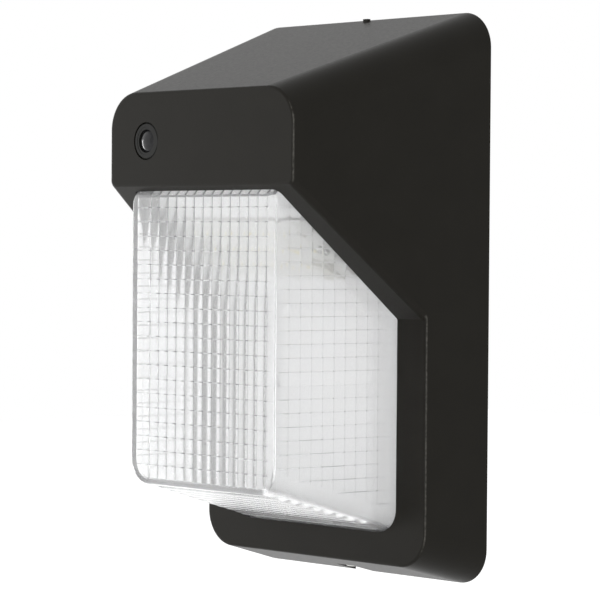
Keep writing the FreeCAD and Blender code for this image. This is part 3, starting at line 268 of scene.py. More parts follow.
def lathe(name: str, profile: Sequence[tuple[float, float]], sides: int) -> bpy.types.Object:
    """Turn a profile round the Z axis.

    Args:
        name: The object's name.
        profile: Points as (radius, height), from one end of the axis to the other.
        sides: How many sides the turned shape has.

    Returns:
        A closed shape round the Z axis at the origin.
    """
    deselect_all()
    radius, height = profile[0]
    bpy.ops.mesh.primitive_plane_add(size=MM, location=(radius, 0, height))
    obj = bpy.context.active_object
    obj.name = name
    settle(obj)
    edit(obj)
    bpy.ops.mesh.select_all(action="SELECT")
    bpy.ops.mesh.merge(type="CENTER")
    for (r0, z0), (r1, z1) in zip(profile, profile[1:]):
        bpy.ops.mesh.extrude_vertices_move(TRANSFORM_OT_translate={"value": (r1 - r0, 0, z1 - z0)})
    bpy.ops.mesh.select_all(action="SELECT")
    bpy.ops.mesh.spin(steps=sides, angle=math.tau, center=(0, 0, 0), axis=Z_AXIS)
    bpy.ops.mesh.select_all(action="SELECT")
    bpy.ops.mesh.remove_doubles(threshold=SAME)
    bpy.ops.mesh.normals_make_consistent(inside=False)
    leave_edit()
    return obj


def smooth(obj: bpy.types.Object, degrees: float = CREASE) -> bpy.types.Object:
    """Smooth an object's shading except across sharp edges."""
    activate(obj)
    bpy.ops.object.shade_smooth_by_angle(angle=math.radians(degrees))
    return obj


def press(obj: bpy.types.Object, name: str, height: float,
          weight: Callable[[Vector], float]) -> None:
    """Move a surface along its normals, by a height times a weight at each vertex.

    Args:
        obj: The mesh object.
        name: Name of the relief.
        height: How far a full weight moves it outwards, or inwards where it is below 0.
        weight: Gives the weight at a point, from 0 to 1.
    """
    group = obj.vertex_groups.new(name=name)
    for vertex in obj.data.vertices:
        share = weight(vertex.co)
        if share > 0:
            group.add([vertex.index], min(share, 1.0), "REPLACE")
    activate(obj)
    modifier = obj.modifiers.new(name, "DISPLACE")
    modifier.vertex_group = name
    modifier.direction = "NORMAL"
    modifier.mid_level = 0.0
    modifier.strength = height
    bpy.ops.object.modifier_apply(modifier=modifier.name)
    obj.vertex_groups.remove(obj.vertex_groups[name])


def plain_rim() -> None:
    """Join the faces in one plane along a mesh's open end, in edit mode, so that its rim has few points."""
    pick(Element.EDGES, lambda edge: len(edge.link_faces) == 2
         and edge.verts[0].is_boundary != edge.verts[1].is_boundary
         and edge.link_faces[0].normal.dot(edge.link_faces[1].normal) > FLAT)
    bpy.ops.mesh.dissolve_edges(use_verts=True)


def weld(obj: bpy.types.Object) -> None:
    """Merge vertices that all but coincide, make triangles and drop those without area."""
    edit(obj)
    bpy.ops.mesh.select_all(action="SELECT")
    bpy.ops.mesh.remove_doubles(threshold=CLOSE)
    bpy.ops.mesh.quads_convert_to_tris(ngon_method="BEAUTY")
    bpy.ops.mesh.dissolve_degenerate(threshold=CLOSE)
    bpy.ops.mesh.quads_convert_to_tris(ngon_method="BEAUTY")
    bpy.ops.mesh.normals_make_consistent(inside=False)
    leave_edit()


def cut_away(obj: bpy.types.Object, cutter: bpy.types.Object) -> None:
    """Subtract a cutter from an object and remove the cutter."""
    activate(obj)
    modifier = obj.modifiers.new("cut", "BOOLEAN")
    modifier.operation = "DIFFERENCE"
    modifier.solver = "EXACT"
    modifier.object = cutter
    bpy.ops.object.modifier_apply(modifier=modifier.name)
    bpy.data.objects.remove(cutter)


def copy_of(obj: bpy.types.Object, name: str) -> bpy.types.Object:
    """Copy an object with a mesh of its own."""
    twin = obj.copy()
    twin.data = obj.data.copy()
    twin.name = name
    bpy.context.scene.collection.objects.link(twin)
    return twin


def join(objects: Sequence[bpy.types.Object], name: str) -> bpy.types.Object:
    """Join objects into one.

    Args:
        objects: The objects, the first of which receives the others.
        name: The joined object's name.

    Returns:
        The joined object.
    """
    deselect_all()
    for obj in objects:
        obj.select_set(True)
    bpy.context.view_layer.objects.active = objects[0]
    if len(objects) > 1:
        bpy.ops.object.join()
    objects[0].name = name
    return objects[0]


def aim(obj: bpy.types.Object, at: Vector, axis: Vector) -> bpy.types.Object:
    """Move an object built round the Z axis to a point and turn its Z axis to a direction."""
    obj.rotation_mode = "QUATERNION"
    obj.rotation_quaternion = Z_AXIS.rotation_difference(axis)
    obj.location = at
    settle(obj)
    obj.rotation_mode = "XYZ"
    return obj


def repeat(model: bpy.types.Object, seats: Sequence[Seat], name: str) -> bpy.types.Object:
    """Join copies of a model, one on each seat, and remove the model.

    Args:
        model: A shape built round the Z axis.
        seats: Where each copy stands, and the direction of its Z axis.
        name: The joined object's name.

    Returns:
        The joined object.
    """
    copies = [aim(copy_of(model, f"{name}_{i}"), seat, axis) for i, (seat, axis) in enumerate(seats)]
    bpy.data.objects.remove(model)
    return join(copies, name)


@dataclass
class Solid:
    """Box of one of the separate solids in a CAD node."""

    low: Vector
    high: Vector

    @property
    def centre(self) -> Vector:
        """Middle of its box."""
        return (self.low + self.high) / 2


def solids(node: str) -> list[Solid]:
    """Separate solids in a CAD node.

    Args:
        node: The node's name.

    Returns:
        The solids, in the order of their first faces.
    """
    mesh = frame["nodes"][node].data
    places: dict[tuple[float, ...], int] = {}
    index = [places.setdefault(tuple(round(c, 6) for c in v.co), len(places)) for v in mesh.vertices]
    leader = list(range(len(places)))

    def find(i: int) -> int:
        """Follow an entry to the leader of its group."""
        while leader[i] != i:
            leader[i] = leader[leader[i]]
            i = leader[i]
        return i

    for polygon in mesh.polygons:
        first, *rest = (find(index[v]) for v in polygon.vertices)
        for other in rest:
            leader[find(other)] = find(first)
    groups: dict[int, list[Vector]] = {}
    for polygon in mesh.polygons:
        points = groups.setdefault(find(index[polygon.vertices[0]]), [])
        points += [mesh.vertices[v].co for v in polygon.vertices]
    return [Solid(Vector(min(p[k] for p in points) for k in range(3)),
                  Vector(max(p[k] for p in points) for k in range(3))) for points in groups.values()]


# ---------------------------------------------------------------- finishes
Colour = tuple[float, float, float]
Socket = bpy.types.NodeSocket
# Part of a noise's range that is spread between the two ends of a value.
NOISE_SPAN = (0.3, 0.7)
# Part of a noise's range over which one colour turns into the other.
COLOUR_SPAN = (0.35, 0.65)
WHITE = (1, 1, 1, 1)


class Tree:
    """A small builder of a node tree.

    Attributes:
        tree: The tree that it builds on.
    """

    def __init__(self, tree: bpy.types.NodeTree) -> None:
        """Build on a tree."""
        self.tree = tree

    def add(self, kind: str, **inputs: float | Sequence[float]) -> bpy.types.Node:
        """Add a node.

        Args:
            kind: The node's type.
            inputs: Values of its inputs, whose names have _ in place of a space.

        Returns:
            The node.
        """
        node = self.tree.nodes.new(kind)
        for name, value in inputs.items():
            node.inputs[name.replace("_", " ")].default_value = value
        return node

    def link(self, source: Socket, target: Socket) -> None:
        """Join two sockets."""
        self.tree.links.new(source, target)

    def math(self, operation: str, *values: float | Socket) -> Socket:
        """Work out a value from numbers and sockets with one of Blender's math operations."""
        node = self.add("ShaderNodeMath")
        node.operation = operation
        for value, socket in zip(values, node.inputs):
            if isinstance(value, Socket):
                self.link(value, socket)
            else:
                socket.default_value = value
        return node.outputs[0]

    def seen_directly(self, otherwise: float, seen: float) -> Socket:
        """Value for rays that show the surround, and another for those that light the object.

        Args:
            otherwise: Value for rays that light the object.
            seen: Value for camera, glossy and transmission rays.

        Returns:
            The value's socket.
        """
        path = self.add("ShaderNodeLightPath")
        direct = path.outputs["Is Camera Ray"]
        for kind in ("Is Glossy Ray", "Is Transmission Ray"):
            direct = self.math("MAXIMUM", direct, path.outputs[kind])
        return self.math("MULTIPLY_ADD", direct, seen - otherwise, otherwise)


class Nodes(Tree):
    """A builder of a material's node tree.

    Attributes:
        material: The material.
        shader: Its Principled shader.
        coordinates: Its texture coordinates.
    """

    def __init__(self, name: str) -> None:
        """Start a material with a Principled shader and Object coordinates."""
        self.material = bpy.data.materials.new(name)
        self.material.use_nodes = True
        super().__init__(self.material.node_tree)
        self.shader = self.tree.nodes["Principled BSDF"]
        self.coordinates = self.add("ShaderNodeTexCoord")

    def set(self, **inputs: float | Sequence[float]) -> None:
        """Set inputs of the shader, whose names have _ in place of a space."""
        for name, value in inputs.items():
            self.shader.inputs[name.replace("_", " ")].default_value = value

    def feed(self, name: str, source: Socket) -> None:
        """Link a socket to an input of the shader."""
        self.link(source, self.shader.inputs[name])

    def texture(self, kind: str, scale: float) -> bpy.types.Node:
        """Texture in Object coordinates, with this many features per metre."""
        texture = self.add(kind, Scale=scale)
        self.link(self.coordinates.outputs["Object"], texture.inputs["Vector"])
        return texture

    def noise(self, scale: float, detail: float = 3.0, stretch: Colour = (1, 1, 1)) -> Socket:
        """Noise in Object coordinates.

        Args:
            scale: Features per metre.
            detail: Octaves.
            stretch: Scale along each axis.

        Returns:
            The noise's factor.
        """
        mapping = self.add("ShaderNodeMapping", Scale=stretch)
        self.link(self.coordinates.outputs["Object"], mapping.inputs["Vector"])
        texture = self.add("ShaderNodeTexNoise", Scale=scale, Detail=detail)
        self.link(mapping.outputs["Vector"], texture.inputs["Vector"])
        return texture.outputs["Fac"]

    def cells(self, scale: float) -> Socket:
        """Distance to the nearest of scattered points, in Object coordinates."""
        return self.texture("ShaderNodeTexVoronoi", scale).outputs["Distance"]

    def span(self, factor: Socket, low: float, high: float) -> Socket:
        """Map the middle range of a factor to two values."""
        start, end = NOISE_SPAN
        node = self.add("ShaderNodeMapRange", From_Min=start, From_Max=end, To_Min=low, To_Max=high)
        self.link(factor, node.inputs["Value"])
        return node.outputs["Result"]

    def blend(self, factor: Socket, first: Colour, second: Colour) -> Socket:
        """Mix two colours over the middle range of a factor."""
        ramp = self.add("ShaderNodeValToRGB")
        for stop, place, colour in zip(ramp.color_ramp.elements, COLOUR_SPAN, (first, second)):
            stop.position = place
            stop.color = (*colour, 1)
        self.link(factor, ramp.inputs["Fac"])
        return ramp.outputs["Color"]

    def upright_edges(self, low: float, high: float) -> Socket:
        """Mask of the rounded edges between the front and the sides.

        Args:
            low: Product of the normal's X and Y up to which the mask is 0.
            high: Product from which it is 1. A normal halfway between front and side has 0.5.

        Returns:
            The mask.
        """
        parts = self.add("ShaderNodeSeparateXYZ")
        self.link(self.coordinates.outputs["Normal"], parts.inputs[0])
        product = self.math("MULTIPLY", parts.outputs["X"], parts.outputs["Y"])
        node = self.add("ShaderNodeMapRange", From_Min=low, From_Max=high)
        self.link(self.math("ABSOLUTE", product), node.inputs["Value"])
        return node.outputs["Result"]

    def bump(self, height: Socket, depth: float, strength: float) -> None:
        """Raise the surface by a height, on top of what was raised before."""
        node = self.add("ShaderNodeBump", Distance=depth, Strength=strength)
        self.link(height, node.inputs["Height"])
        before = self.shader.inputs["Normal"].links
        if before:
            self.link(before[0].from_socket, node.inputs["Normal"])
        self.feed("Normal", node.outputs["Normal"])


@dataclass(frozen=True)
class Finish:
    """A plain finish: a colour that varies a little, a gloss that varies a little, and fine relief.

    Attributes:
        name: The material's name.
        slot: The record's material slot; not used.
        colour: Base colour.
        shade: A second base colour that it drifts to.
        roughness: Lowest and highest roughness.
        metallic: 1 for bare metal.
        specular: Specular level.
        grain: Relief features per metre.
        grain_detail: Octaves of the relief.
        relief: Height of the relief.
        strength: Strength of the relief.
        mottle: Gloss variations per metre.
        drift: Colour variations per metre.
        drift_detail: Octaves of the colour variations.
        drift_stretch: Scale of the colour variations along each axis.
    """

    name: str
    slot: str
    colour: Colour
    shade: Colour
    roughness: tuple[float, float] = (0.4, 0.5)
    metallic: float = 0.0
    specular: float = 0.5
    grain: float = 900.0
    grain_detail: float = 3.0
    relief: float = 0.05 * MM
    strength: float = 0.2
    mottle: float = 150.0
    drift: float = 60.0
    drift_detail: float = 4.0
    drift_stretch: Colour = (1, 1, 1)

    def build(self) -> bpy.types.Material:
        """Make the material, or return the one made before."""
        made = bpy.data.materials.get(self.name)
        if made:
            return made
        nodes = Nodes(self.name)
        nodes.set(Metallic=self.metallic, Specular_IOR_Level=self.specular)
        drift = nodes.noise(self.drift, self.drift_detail, self.drift_stretch)
        nodes.feed("Base Color", nodes.blend(drift, self.colour, self.shade))
        nodes.feed("Roughness", nodes.span(nodes.noise(self.mottle), *self.roughness))
        nodes.bump(nodes.noise(self.grain, self.grain_detail), self.relief, self.strength)
        self.refine(nodes)
        return nodes.material

    def refine(self, nodes: Nodes) -> None:
        """Add what only this kind of finish has."""

    def on(self, obj: bpy.types.Object) -> None:
        """Give the whole of an object this finish."""
        material = self.build()
        if len(obj.material_slots) == 1:
            obj.material_slots[0].material = material
        else:
            obj.data.materials.clear()
            obj.data.materials.append(material)


@dataclass(frozen=True)
class PowderCoat(Finish):
    """Fine-textured powder coat: pebbly over a faint orange peel, with a painted highlight along its upright
    edges.

    Attributes:
        pebble: Pebbles per metre.
        pebble_strength: Strength of the pebbles' relief.
        peel: Waves of the orange peel per metre.
        peel_detail: Octaves of the orange peel.
        peel_strength: Strength of the orange peel's relief.
        worn: Colour of the painted highlight on the upright edges.
        rubbed: Products of the normal's X and Y between which the painted highlight sets in.
        rub_patches: Patches of the painted highlight per metre.
    """

    pebble: float = 1500.0
    pebble_strength: float = 0.3
    peel: float = 260.0
    peel_detail: float = 2.0
    peel_strength: float = 0.08
    # Lighter colour of the painted highlight on the rounded upright edges.
    worn: Colour = (0.075, 0.072, 0.064)
    rubbed: tuple[float, float] = (0.37, 0.49)
    rub_patches: float = 700.0

    def refine(self, nodes: Nodes) -> None:
        """Add the pebbles, the orange peel and the painted highlight along the upright edges."""
        nodes.bump(nodes.cells(self.pebble), self.relief, self.pebble_strength)
        nodes.bump(nodes.noise(self.peel, self.peel_detail), self.relief, self.peel_strength)
        # Painted highlight: a lighter colour laid on the rounded upright edges, broken into patches.
        patches = nodes.span(nodes.noise(self.rub_patches), 0.0, 1.0)
        mix = nodes.add("ShaderNodeMix")
        mix.data_type = "RGBA"
        highlight_mask = nodes.math("MULTIPLY", nodes.upright_edges(*self.rubbed), patches)
        nodes.link(highlight_mask, mix.inputs["Factor"])
        nodes.link(nodes.shader.inputs["Base Color"].links[0].from_socket, mix.inputs["A"])
        mix.inputs["B"].default_value = (*self.worn, 1)
        nodes.feed("Base Color", mix.outputs["Result"])


@dataclass(frozen=True)
class ClearPlastic(Finish):
    """Clear moulded plastic with faint flow marks.

    Attributes:
        ior: Index of refraction.
        clarity: Share of the light that goes through.
    """

    ior: float = 1.49
    clarity: float = 0.86

    def refine(self, nodes: Nodes) -> None:
        """Let light through."""
        nodes.set(Transmission_Weight=self.clarity, IOR=self.ior)


@dataclass(frozen=True)
class BrushedMetal(Finish):
    """Bare sheet metal with a rolling direction along Z.

    Attributes:
        lines: Rolling lines per metre.
        line_stretch: Scale of the lines along each axis.
        line_relief: Height of the lines.
        line_strength: Strength of the lines.
    """

    lines: float = 2500.0
    line_stretch: Colour = (1.0, 1.0, 0.04)
    line_relief: float = 0.02 * MM
    line_strength: float = 0.25

    def refine(self, nodes: Nodes) -> None:
        """Add the rolling lines."""
        nodes.bump(nodes.noise(self.lines, stretch=self.line_stretch), self.line_relief, self.line_strength)


@dataclass(frozen=True)
class Galvanised(Finish):
    """Zinc-coated steel with its spangle.

    Attributes:
        crystals: Crystals per metre.
    """

    crystals: float = 190.0

    def refine(self, nodes: Nodes) -> None:
        """Vary the colour and the gloss from one crystal to the next."""
        parts = nodes.add("ShaderNodeSeparateColor")
        spangle = nodes.texture("ShaderNodeTexVoronoi", self.crystals)
        nodes.link(spangle.outputs["Color"], parts.inputs["Color"])
        nodes.feed("Base Color", nodes.blend(parts.outputs["Red"], self.colour, self.shade))
        nodes.feed("Roughness", nodes.span(parts.outputs["Green"], *self.roughness))


@dataclass(frozen=True)
class Foam(Finish):
    """Closed-cell foam with fine pores.

    Attributes:
        pores: Pores per metre.
        pore_depth: Depth of a pore.
        pore_strength: Strength of the pores.
    """

    pores: float = 1400.0
    pore_depth: float = 0.2 * MM
    pore_strength: float = 0.6

    def refine(self, nodes: Nodes) -> None:
        """Add the pores."""
        nodes.bump(nodes.cells(self.pores), self.pore_depth, self.pore_strength)


@dataclass(frozen=True)
class CircuitMask(Finish):
    """Solder mask over copper tracks, which lift it slightly.

    Attributes:
        tracks: Tracks per metre.
        track_strength: Strength of the tracks' relief.
    """

    tracks: float = 260.0
    track_strength: float = 0.3

    def refine(self, nodes: Nodes) -> None:
        """Add the raised tracks."""
        tracks = nodes.texture("ShaderNodeTexBrick", self.tracks).outputs["Fac"]
        nodes.bump(tracks, self.relief, self.track_strength)


COAT = PowderCoat("bronze_powder_coat", "bronze_coat", (0.0108, 0.0099, 0.0078), (0.0120, 0.0110, 0.0087),
                  roughness=(0.34, 0.39), specular=0.09, mottle=700.0)
CLEAR = ClearPlastic("clear_ribbed_plastic", "clear_lens", (0.99, 0.993, 1.0), (0.995, 0.997, 1.0),
                     roughness=(0.10, 0.14), grain=180.0, grain_detail=2.0, relief=0.02 * MM, strength=0.1,
                     mottle=300.0, drift=45.0, drift_detail=2.0, drift_stretch=(1.0, 1.0, 0.3))
SHEET = Finish("white_enamel", "white_sheet", (0.95, 0.95, 0.945), (0.97, 0.97, 0.965),
               roughness=(0.35, 0.45))
MASK = CircuitMask("white_solder_mask", "white_board", (0.78, 0.78, 0.75), (0.84, 0.84, 0.82),
                   roughness=(0.3, 0.4))
PHOSPHOR = Finish("yellow_phosphor", "phosphor", (0.85, 0.74, 0.36), (0.88, 0.80, 0.44),
                  roughness=(0.25, 0.35))
PACKAGE = Finish("white_package", "white_plastic", (0.75, 0.74, 0.70), (0.80, 0.79, 0.76),
                 roughness=(0.3, 0.4))
NYLON = Finish("white_nylon", "white_plastic", (0.70, 0.69, 0.64), (0.74, 0.73, 0.69), roughness=(0.35, 0.5))
ALUMINIUM = BrushedMetal("mill_aluminium", "aluminium_sheet", (0.66, 0.67, 0.68), (0.72, 0.73, 0.74),
                         roughness=(0.3, 0.42), metallic=1.0)
ZINC = Finish("bright_zinc", "zinc_screw", (0.56, 0.56, 0.54), (0.66, 0.66, 0.63), roughness=(0.22, 0.34),
              metallic=1.0)
SPANGLE = Galvanised("galvanised_steel", "galvanised_plate", (0.48, 0.50, 0.51), (0.62, 0.63, 0.63),
                     roughness=(0.32, 0.46), metallic=1.0)
CASE = Galvanised("galvanised_case", "zinc_case", (0.50, 0.51, 0.52), (0.60, 0.61, 0.61),
                  roughness=(0.30, 0.42), metallic=1.0)
GREEN_MASK = CircuitMask("green_solder_mask", "green_board", (0.02, 0.11, 0.04), (0.03, 0.15, 0.05),
                         roughness=(0.25, 0.35))
BLACK = Finish("black_moulding", "black_plastic", (0.011, 0.011, 0.010), (0.014, 0.014, 0.013),
               roughness=(0.30, 0.40), specular=0.12)
SMOKED = Finish("smoked_plastic", "smoked_dome", (0.011, 0.011, 0.012), (0.015, 0.015, 0.016),
                roughness=(0.12, 0.16), specular=0.25, strength=0.02)
SILICONE = Finish("grey_silicone", "silicone", (0.03, 0.03, 0.03), (0.04, 0.04, 0.04), roughness=(0.55, 0.7))
PAD = Finish("silicone_pad", "thermal_pad", (0.28, 0.28, 0.30), (0.33, 0.33, 0.35), roughness=(0.6, 0.75))
FOAM = Foam("sealing_foam", "seal_foam", (0.014, 0.014, 0.014), (0.022, 0.022, 0.022), roughness=(0.75, 0.9))
GREEN_DYE = Finish("green_dyed_steel", "green_screw", (0.02, 0.16, 0.05), (0.03, 0.20, 0.07),
                   roughness=(0.3, 0.4), metallic=0.6)
WIRE_BLACK = Finish("insulation_black", "lead_insulation", (0.012, 0.012, 0.012), (0.0168, 0.0168, 0.0168),
                    roughness=(0.3, 0.42), grain=600.0)
WIRE_RED = Finish("insulation_red", "lead_insulation", (0.42, 0.015, 0.012), (0.486, 0.02025, 0.0168),
                  roughness=(0.3, 0.42), grain=600.0)


# ---------------------------------------------------------------- the housing's shared planes
@dataclass(frozen=True)
class Form:
    """The planes that the housing and the lens share.

    Attributes:
        standoff: Depth of the wall gasket behind the rim.
        depth: Depth of the hood's face.
        hood_bottom: Height where the diagonal starts, at the hood's face.
        lip_depth: Depth of the lip, where the diagonal ends.
        lip_top: Height where the diagonal ends.
    """

    standoff: float = 3.0 * MM
    depth: float = 97.0 * MM
    hood_bottom: float = 46.4 * MM
    lip_depth: float = 31.6 * MM
    lip_top: float = -8.6 * MM

    @property
    def slope(self) -> float:
        """Angle of the diagonal above the horizontal."""
        return math.atan2(self.hood_bottom - self.lip_top, self.depth - self.lip_depth)

    @property
    def along(self) -> Vector:
        """Unit vector up the diagonal, towards the viewer."""
        return Vector((0, -math.cos(self.slope), math.sin(self.slope)))

    @property
    def inward(self) -> Vector:
        """Unit normal of the diagonal, into the housing."""
        return Vector((0, math.sin(self.slope), math.cos(self.slope)))

    def y(self, depth: float) -> float:
        """Y of a depth."""
        return -(self.standoff + depth)

    def depth_of(self, point: Vector) -> float:
        """Depth of a point."""
        return -point.y - self.standoff

    def on_diagonal(self, x: float, up: float, offset: float) -> Vector:
        """Point on the diagonal.

        Args:
            x: Its X.
            up: Distance up the diagonal from the lip.
            offset: Distance into the housing.

        Returns:
            The point.
        """
        corner = Vector((x, self.y(self.lip_depth), self.lip_top))
        return corner + self.along * up + self.inward * offset

    def layer_step(self, thickness: float) -> Vector:
        """Shift that moves both the diagonal and the lip inwards by a thickness."""
        rise = thickness * (1 - math.sin(self.slope)) / math.cos(self.slope)
        return Vector((0, thickness, rise))


FORM = Form()


# ---------------------------------------------------------------- lens
@dataclass(frozen=True)
class Flutes:
    """A run of rounded ridges side by side.

    Attributes:
        start: Where the first begins.
        width: Width of one.
        count: How many there are.
        height: Height of one above the valleys.
        fullness: How flat their tops are: 2 is a parabola, and more is flatter with narrower valleys.
        slack: Share of a width by which a place in the first or last valley may lie outside it.
    """

    start: float
    width: float
    count: int
    height: float
    fullness: float
    slack: float = 0.001

    @property
    def end(self) -> float:
        """Where the last one ends."""
        return self.start + self.count * self.width

    def places(self, shares: Sequence[float]) -> Iterator[float]:
        """Places where the flutes are divided, the last valley among them."""
        for i in range(self.count):
            for share in shares:
                yield self.start + (i + share) * self.width
        yield self.end

    def valley(self, place: float) -> float:
        """How near a place is to a valley's bottom: 1 in it, 0 on a top or outside the flutes."""
        turn = (place - self.start) / self.width
        if not -self.slack < turn < self.count + self.slack:
            return 0.0
        return abs(2 * (turn % 1) - 1) ** self.fullness


@dataclass
class Lens:
    """Clear lens, scored outside along X, fluted inside along Z and outside under its floor, with its flange.

    Attributes:
        depth: Depth of its front.
        half_width: Half its width at the front.
        crown: Height of its front's upper edge.
        foot: Height of its floor at the lip.
        side_draft: How much it widens towards the wall, as an angle.
        floor_slope: Slope of its floor.
        wall: Wall thickness.
        corner: Radius of its lower corners.
        corner_steps: Steps of that round.
        crown_round: Radius of its upper corners.
        crown_steps: Steps of that round.
        edge: Radius round its front.
        edge_steps: Steps of that round.
        inner_edge: Radius round the front of its inner skin.
        flange_front: Offset of the flange's front behind the diagonal.
        flange_width: How far the flange reaches outside the lens.
        flange_thick: The flange's thickness.
        flange_end: Height over which the flange is drawn out at its lowest and highest point.
        collar: Length of the inner skin's plain end.
        score_half: Half the width of a scored line.
        score_deep: Depth of a scored line.
        score_fade: Length over which a scored line runs out at its ends.
        first_score: Height of the uppermost scored line.
        front_pitch: Distance between the front's scored lines.
        front_scores: How many scored lines the front has.
        front_reach: Half the length of the front's scored lines.
        side_pitch: Distance between the sides' scored lines.
        side_scores: How many scored lines a side has.
        side_reach: Depths between which the sides' scored lines run.
        crease: Sharpest angle, in degrees, that is shaded smooth.
        shares: Where a flute is divided, as shares of its width.
        front_flutes: The front's flutes, inside.
        side_flutes: The sides' flutes, inside.
        floor_flutes: The floor's flutes, outside, which run out up its corners.
    """

    depth: float = 95.2 * MM
    half_width: float = 45.3 * MM
    crown: float = 42.5 * MM
    foot: float = -97.5 * MM
    side_draft: float = math.radians(4.9)
    floor_slope: float = math.radians(16.0)
    wall: float = 2.4 * MM
    corner: float = 10.0 * MM
    corner_steps: int = 10
    crown_round: float = 3.0 * MM
    crown_steps: int = 5
    edge: float = 1.1 * MM
    edge_steps: int = 4
    inner_edge: float = 0.5 * MM
    flange_front: float = 4.5 * MM
    flange_width: float = 4.5 * MM
    flange_thick: float = 2.5 * MM
    flange_end: float = 2.0 * MM
    collar: float = 0.4 * MM
    score_half: float = 0.20 * MM
    score_deep: float = 0.24 * MM
    score_fade: float = 0.5 * MM
    first_score: float = 37.3 * MM
    front_pitch: float = 6.03 * MM
    front_scores: int = 20
    front_reach: float = 42.1 * MM
    side_pitch: float = 5.56 * MM
    side_scores: int = 23
    side_reach: tuple[float, float] = (33.8 * MM, 92.6 * MM)
    crease: float = 20.0
    shares: tuple[float, ...] = (0.0, 0.04, 0.1, 0.2, 0.35, 0.5, 0.65, 0.8, 0.9, 0.96)
    front_flutes: Flutes = Flutes(-39.62 * MM, 5.66 * MM, 14, 0.36 * MM, 2.0)
    side_flutes: Flutes = Flutes(34.4 * MM, 5.80 * MM, 9, 0.20 * MM, 6.0)
    floor_flutes: Flutes = Flutes(34.4 * MM, 5.80 * MM, 9, 0.6 * MM, 2.0)

    def half_at(self, depth: float) -> float:
        """Half the lens's width at a depth."""
        return self.half_width + (self.depth - depth) * math.tan(self.side_draft)

    def floor_at(self, depth: float) -> float:
        """Height of the lens's floor at a depth."""
        return self.foot + (depth - FORM.lip_depth) * math.tan(self.floor_slope)

    def below_crown(self, point: Vector) -> float:
        """Distance of a point below the face that closes the lens at its top."""
        return (Vector((0, FORM.y(self.depth), self.crown)) - point).dot(FORM.along)

    def tapered_block(self, name: str, inset: float) -> bpy.types.Object:
        """Block with the lens's drafted sides and sloping floor, still square at its corners.

        Args:
            name: The object's name.
            inset: How far it lies inside the outer skin.

        Returns:
            The block.
        """
        front = self.depth - inset
        half = self.half_at(front) - inset
        low_front = self.floor_at(front) + inset / math.cos(self.floor_slope)
        block = add_block(name, Vector((-half, FORM.y(front), low_front)), Vector((half, 0, FORM.depth)))
        edit(block)
        back_half = self.half_at(-FORM.standoff) - inset
        pick_points(lambda p: p.y > -SAME)
        bpy.ops.transform.resize(value=(back_half / half, 1, 1), center_override=(0, 0, 0))
        drop = self.floor_at(-FORM.standoff) - self.floor_at(front)
        pick_points(lambda p: p.y > -SAME and p.z < 0)
        bpy.ops.transform.translate(value=(0, 0, drop))
        crown = Vector((0, FORM.y(self.depth), self.crown)) - FORM.along * inset
        slice_at(crown, FORM.along, clear=True, fill=True)
        leave_edit()
        return block

    def skin(self, name: str, inset: float, edge: float, stop: float) -> bpy.types.Object:
        """One skin of the lens, open where it ends behind the housing's front.

        Args:
            name: The object's name.
            inset: How far it lies inside the outer skin.
            edge: Radius round its front, below the crown.
            stop: Offset behind the diagonal and the lip where it ends.

        Returns:
            The skin.
        """
        block = self.tapered_block(name, inset)
        front = FORM.y(self.depth - inset)
        edit(block)
        pick_edges(lambda p: self.is_floor(p, inset), runs_back)
        bpy.ops.mesh.bevel(offset=self.corner - inset, segments=self.corner_steps, affect="EDGES")
        pick_edges(lambda p: abs(self.below_crown(p) - inset) < SAME, runs_back)
        bpy.ops.mesh.bevel(offset=self.crown_round - inset, segments=self.crown_steps, affect="EDGES")
        pick_edges(lambda p: abs(p.y - front) < SAME,
                   lambda a, b: max(self.below_crown(a), self.below_crown(b)) > inset + SAME)
        bpy.ops.mesh.bevel(offset=edge, segments=self.edge_steps, affect="EDGES")
        slice_at(Vector((0, FORM.y(FORM.lip_depth - stop), 0)), Y_AXIS, clear=True)
        slice_at(FORM.on_diagonal(0, 0, stop), FORM.inward, clear=True)
        leave_edit()
        return block

    def is_floor(self, point: Vector, inset: float) -> bool:
        """Whether a point lies on a skin's floor."""
        rise = inset / math.cos(self.floor_slope)
        return abs(point.z - self.floor_at(FORM.depth_of(point)) - rise) < NEAR

    def score(self, skin: bpy.types.Object) -> None:
        """Score the outer skin along X: its front on one pitch and its sides on another."""
        edit(skin)
        lines = [self.first_score - self.front_pitch * i for i in range(self.front_scores)]
        lines += [self.first_score - self.side_pitch * i for i in range(self.side_scores)]
        for line in lines:
            slice_along(Z_AXIS, (line - self.score_half, line, line + self.score_half))
        for reach in (self.front_reach, self.front_reach - self.score_fade):
            slice_along(X_AXIS, (-reach, reach))
        near, far = self.side_reach
        self.slice_depths((near, near + self.score_fade, far - self.score_fade, far))
        leave_edit()
        press(skin, "scores", -self.score_deep, self.score_weight)

    @staticmethod
    def slice_depths(depths: Iterable[float]) -> None:
        """Cut the whole mesh at some depths, in edit mode."""
        slice_along(Y_AXIS, map(FORM.y, depths))

    def score_weight(self, point: Vector) -> float:
        """How deep the outer skin is scored at a point, from 0 to 1."""
        depth = FORM.depth_of(point)
        if abs(depth - self.depth) < SAME:
            room = self.front_reach - abs(point.x)
            pitch, count = self.front_pitch, self.front_scores
        elif abs(abs(point.x) - self.half_at(depth)) < NEAR:
            room = min(depth - self.side_reach[0], self.side_reach[1] - depth)
            pitch, count = self.side_pitch, self.side_scores
        else:
            return 0.0
        nearest = min(max(round((self.first_score - point.z) / pitch), 0), count - 1)
        off_line = abs(self.first_score - point.z - nearest * pitch)
        return max(0.0, 1 - off_line / self.score_half) * min(max(room / self.score_fade, 0.0), 1.0)

    def flute_inside(self, skin: bpy.types.Object) -> None:
        """Raise the upright flutes on the inner skin's front and sides."""
        edit(skin)
        slice_along(X_AXIS, self.front_flutes.places(self.shares))
        self.slice_depths(self.side_flutes.places(self.shares))
        leave_edit()
        press(skin, "front_flutes", -self.front_flutes.height, self.front_ridge)
        press(skin, "side_flutes", -self.side_flutes.height, self.side_ridge)

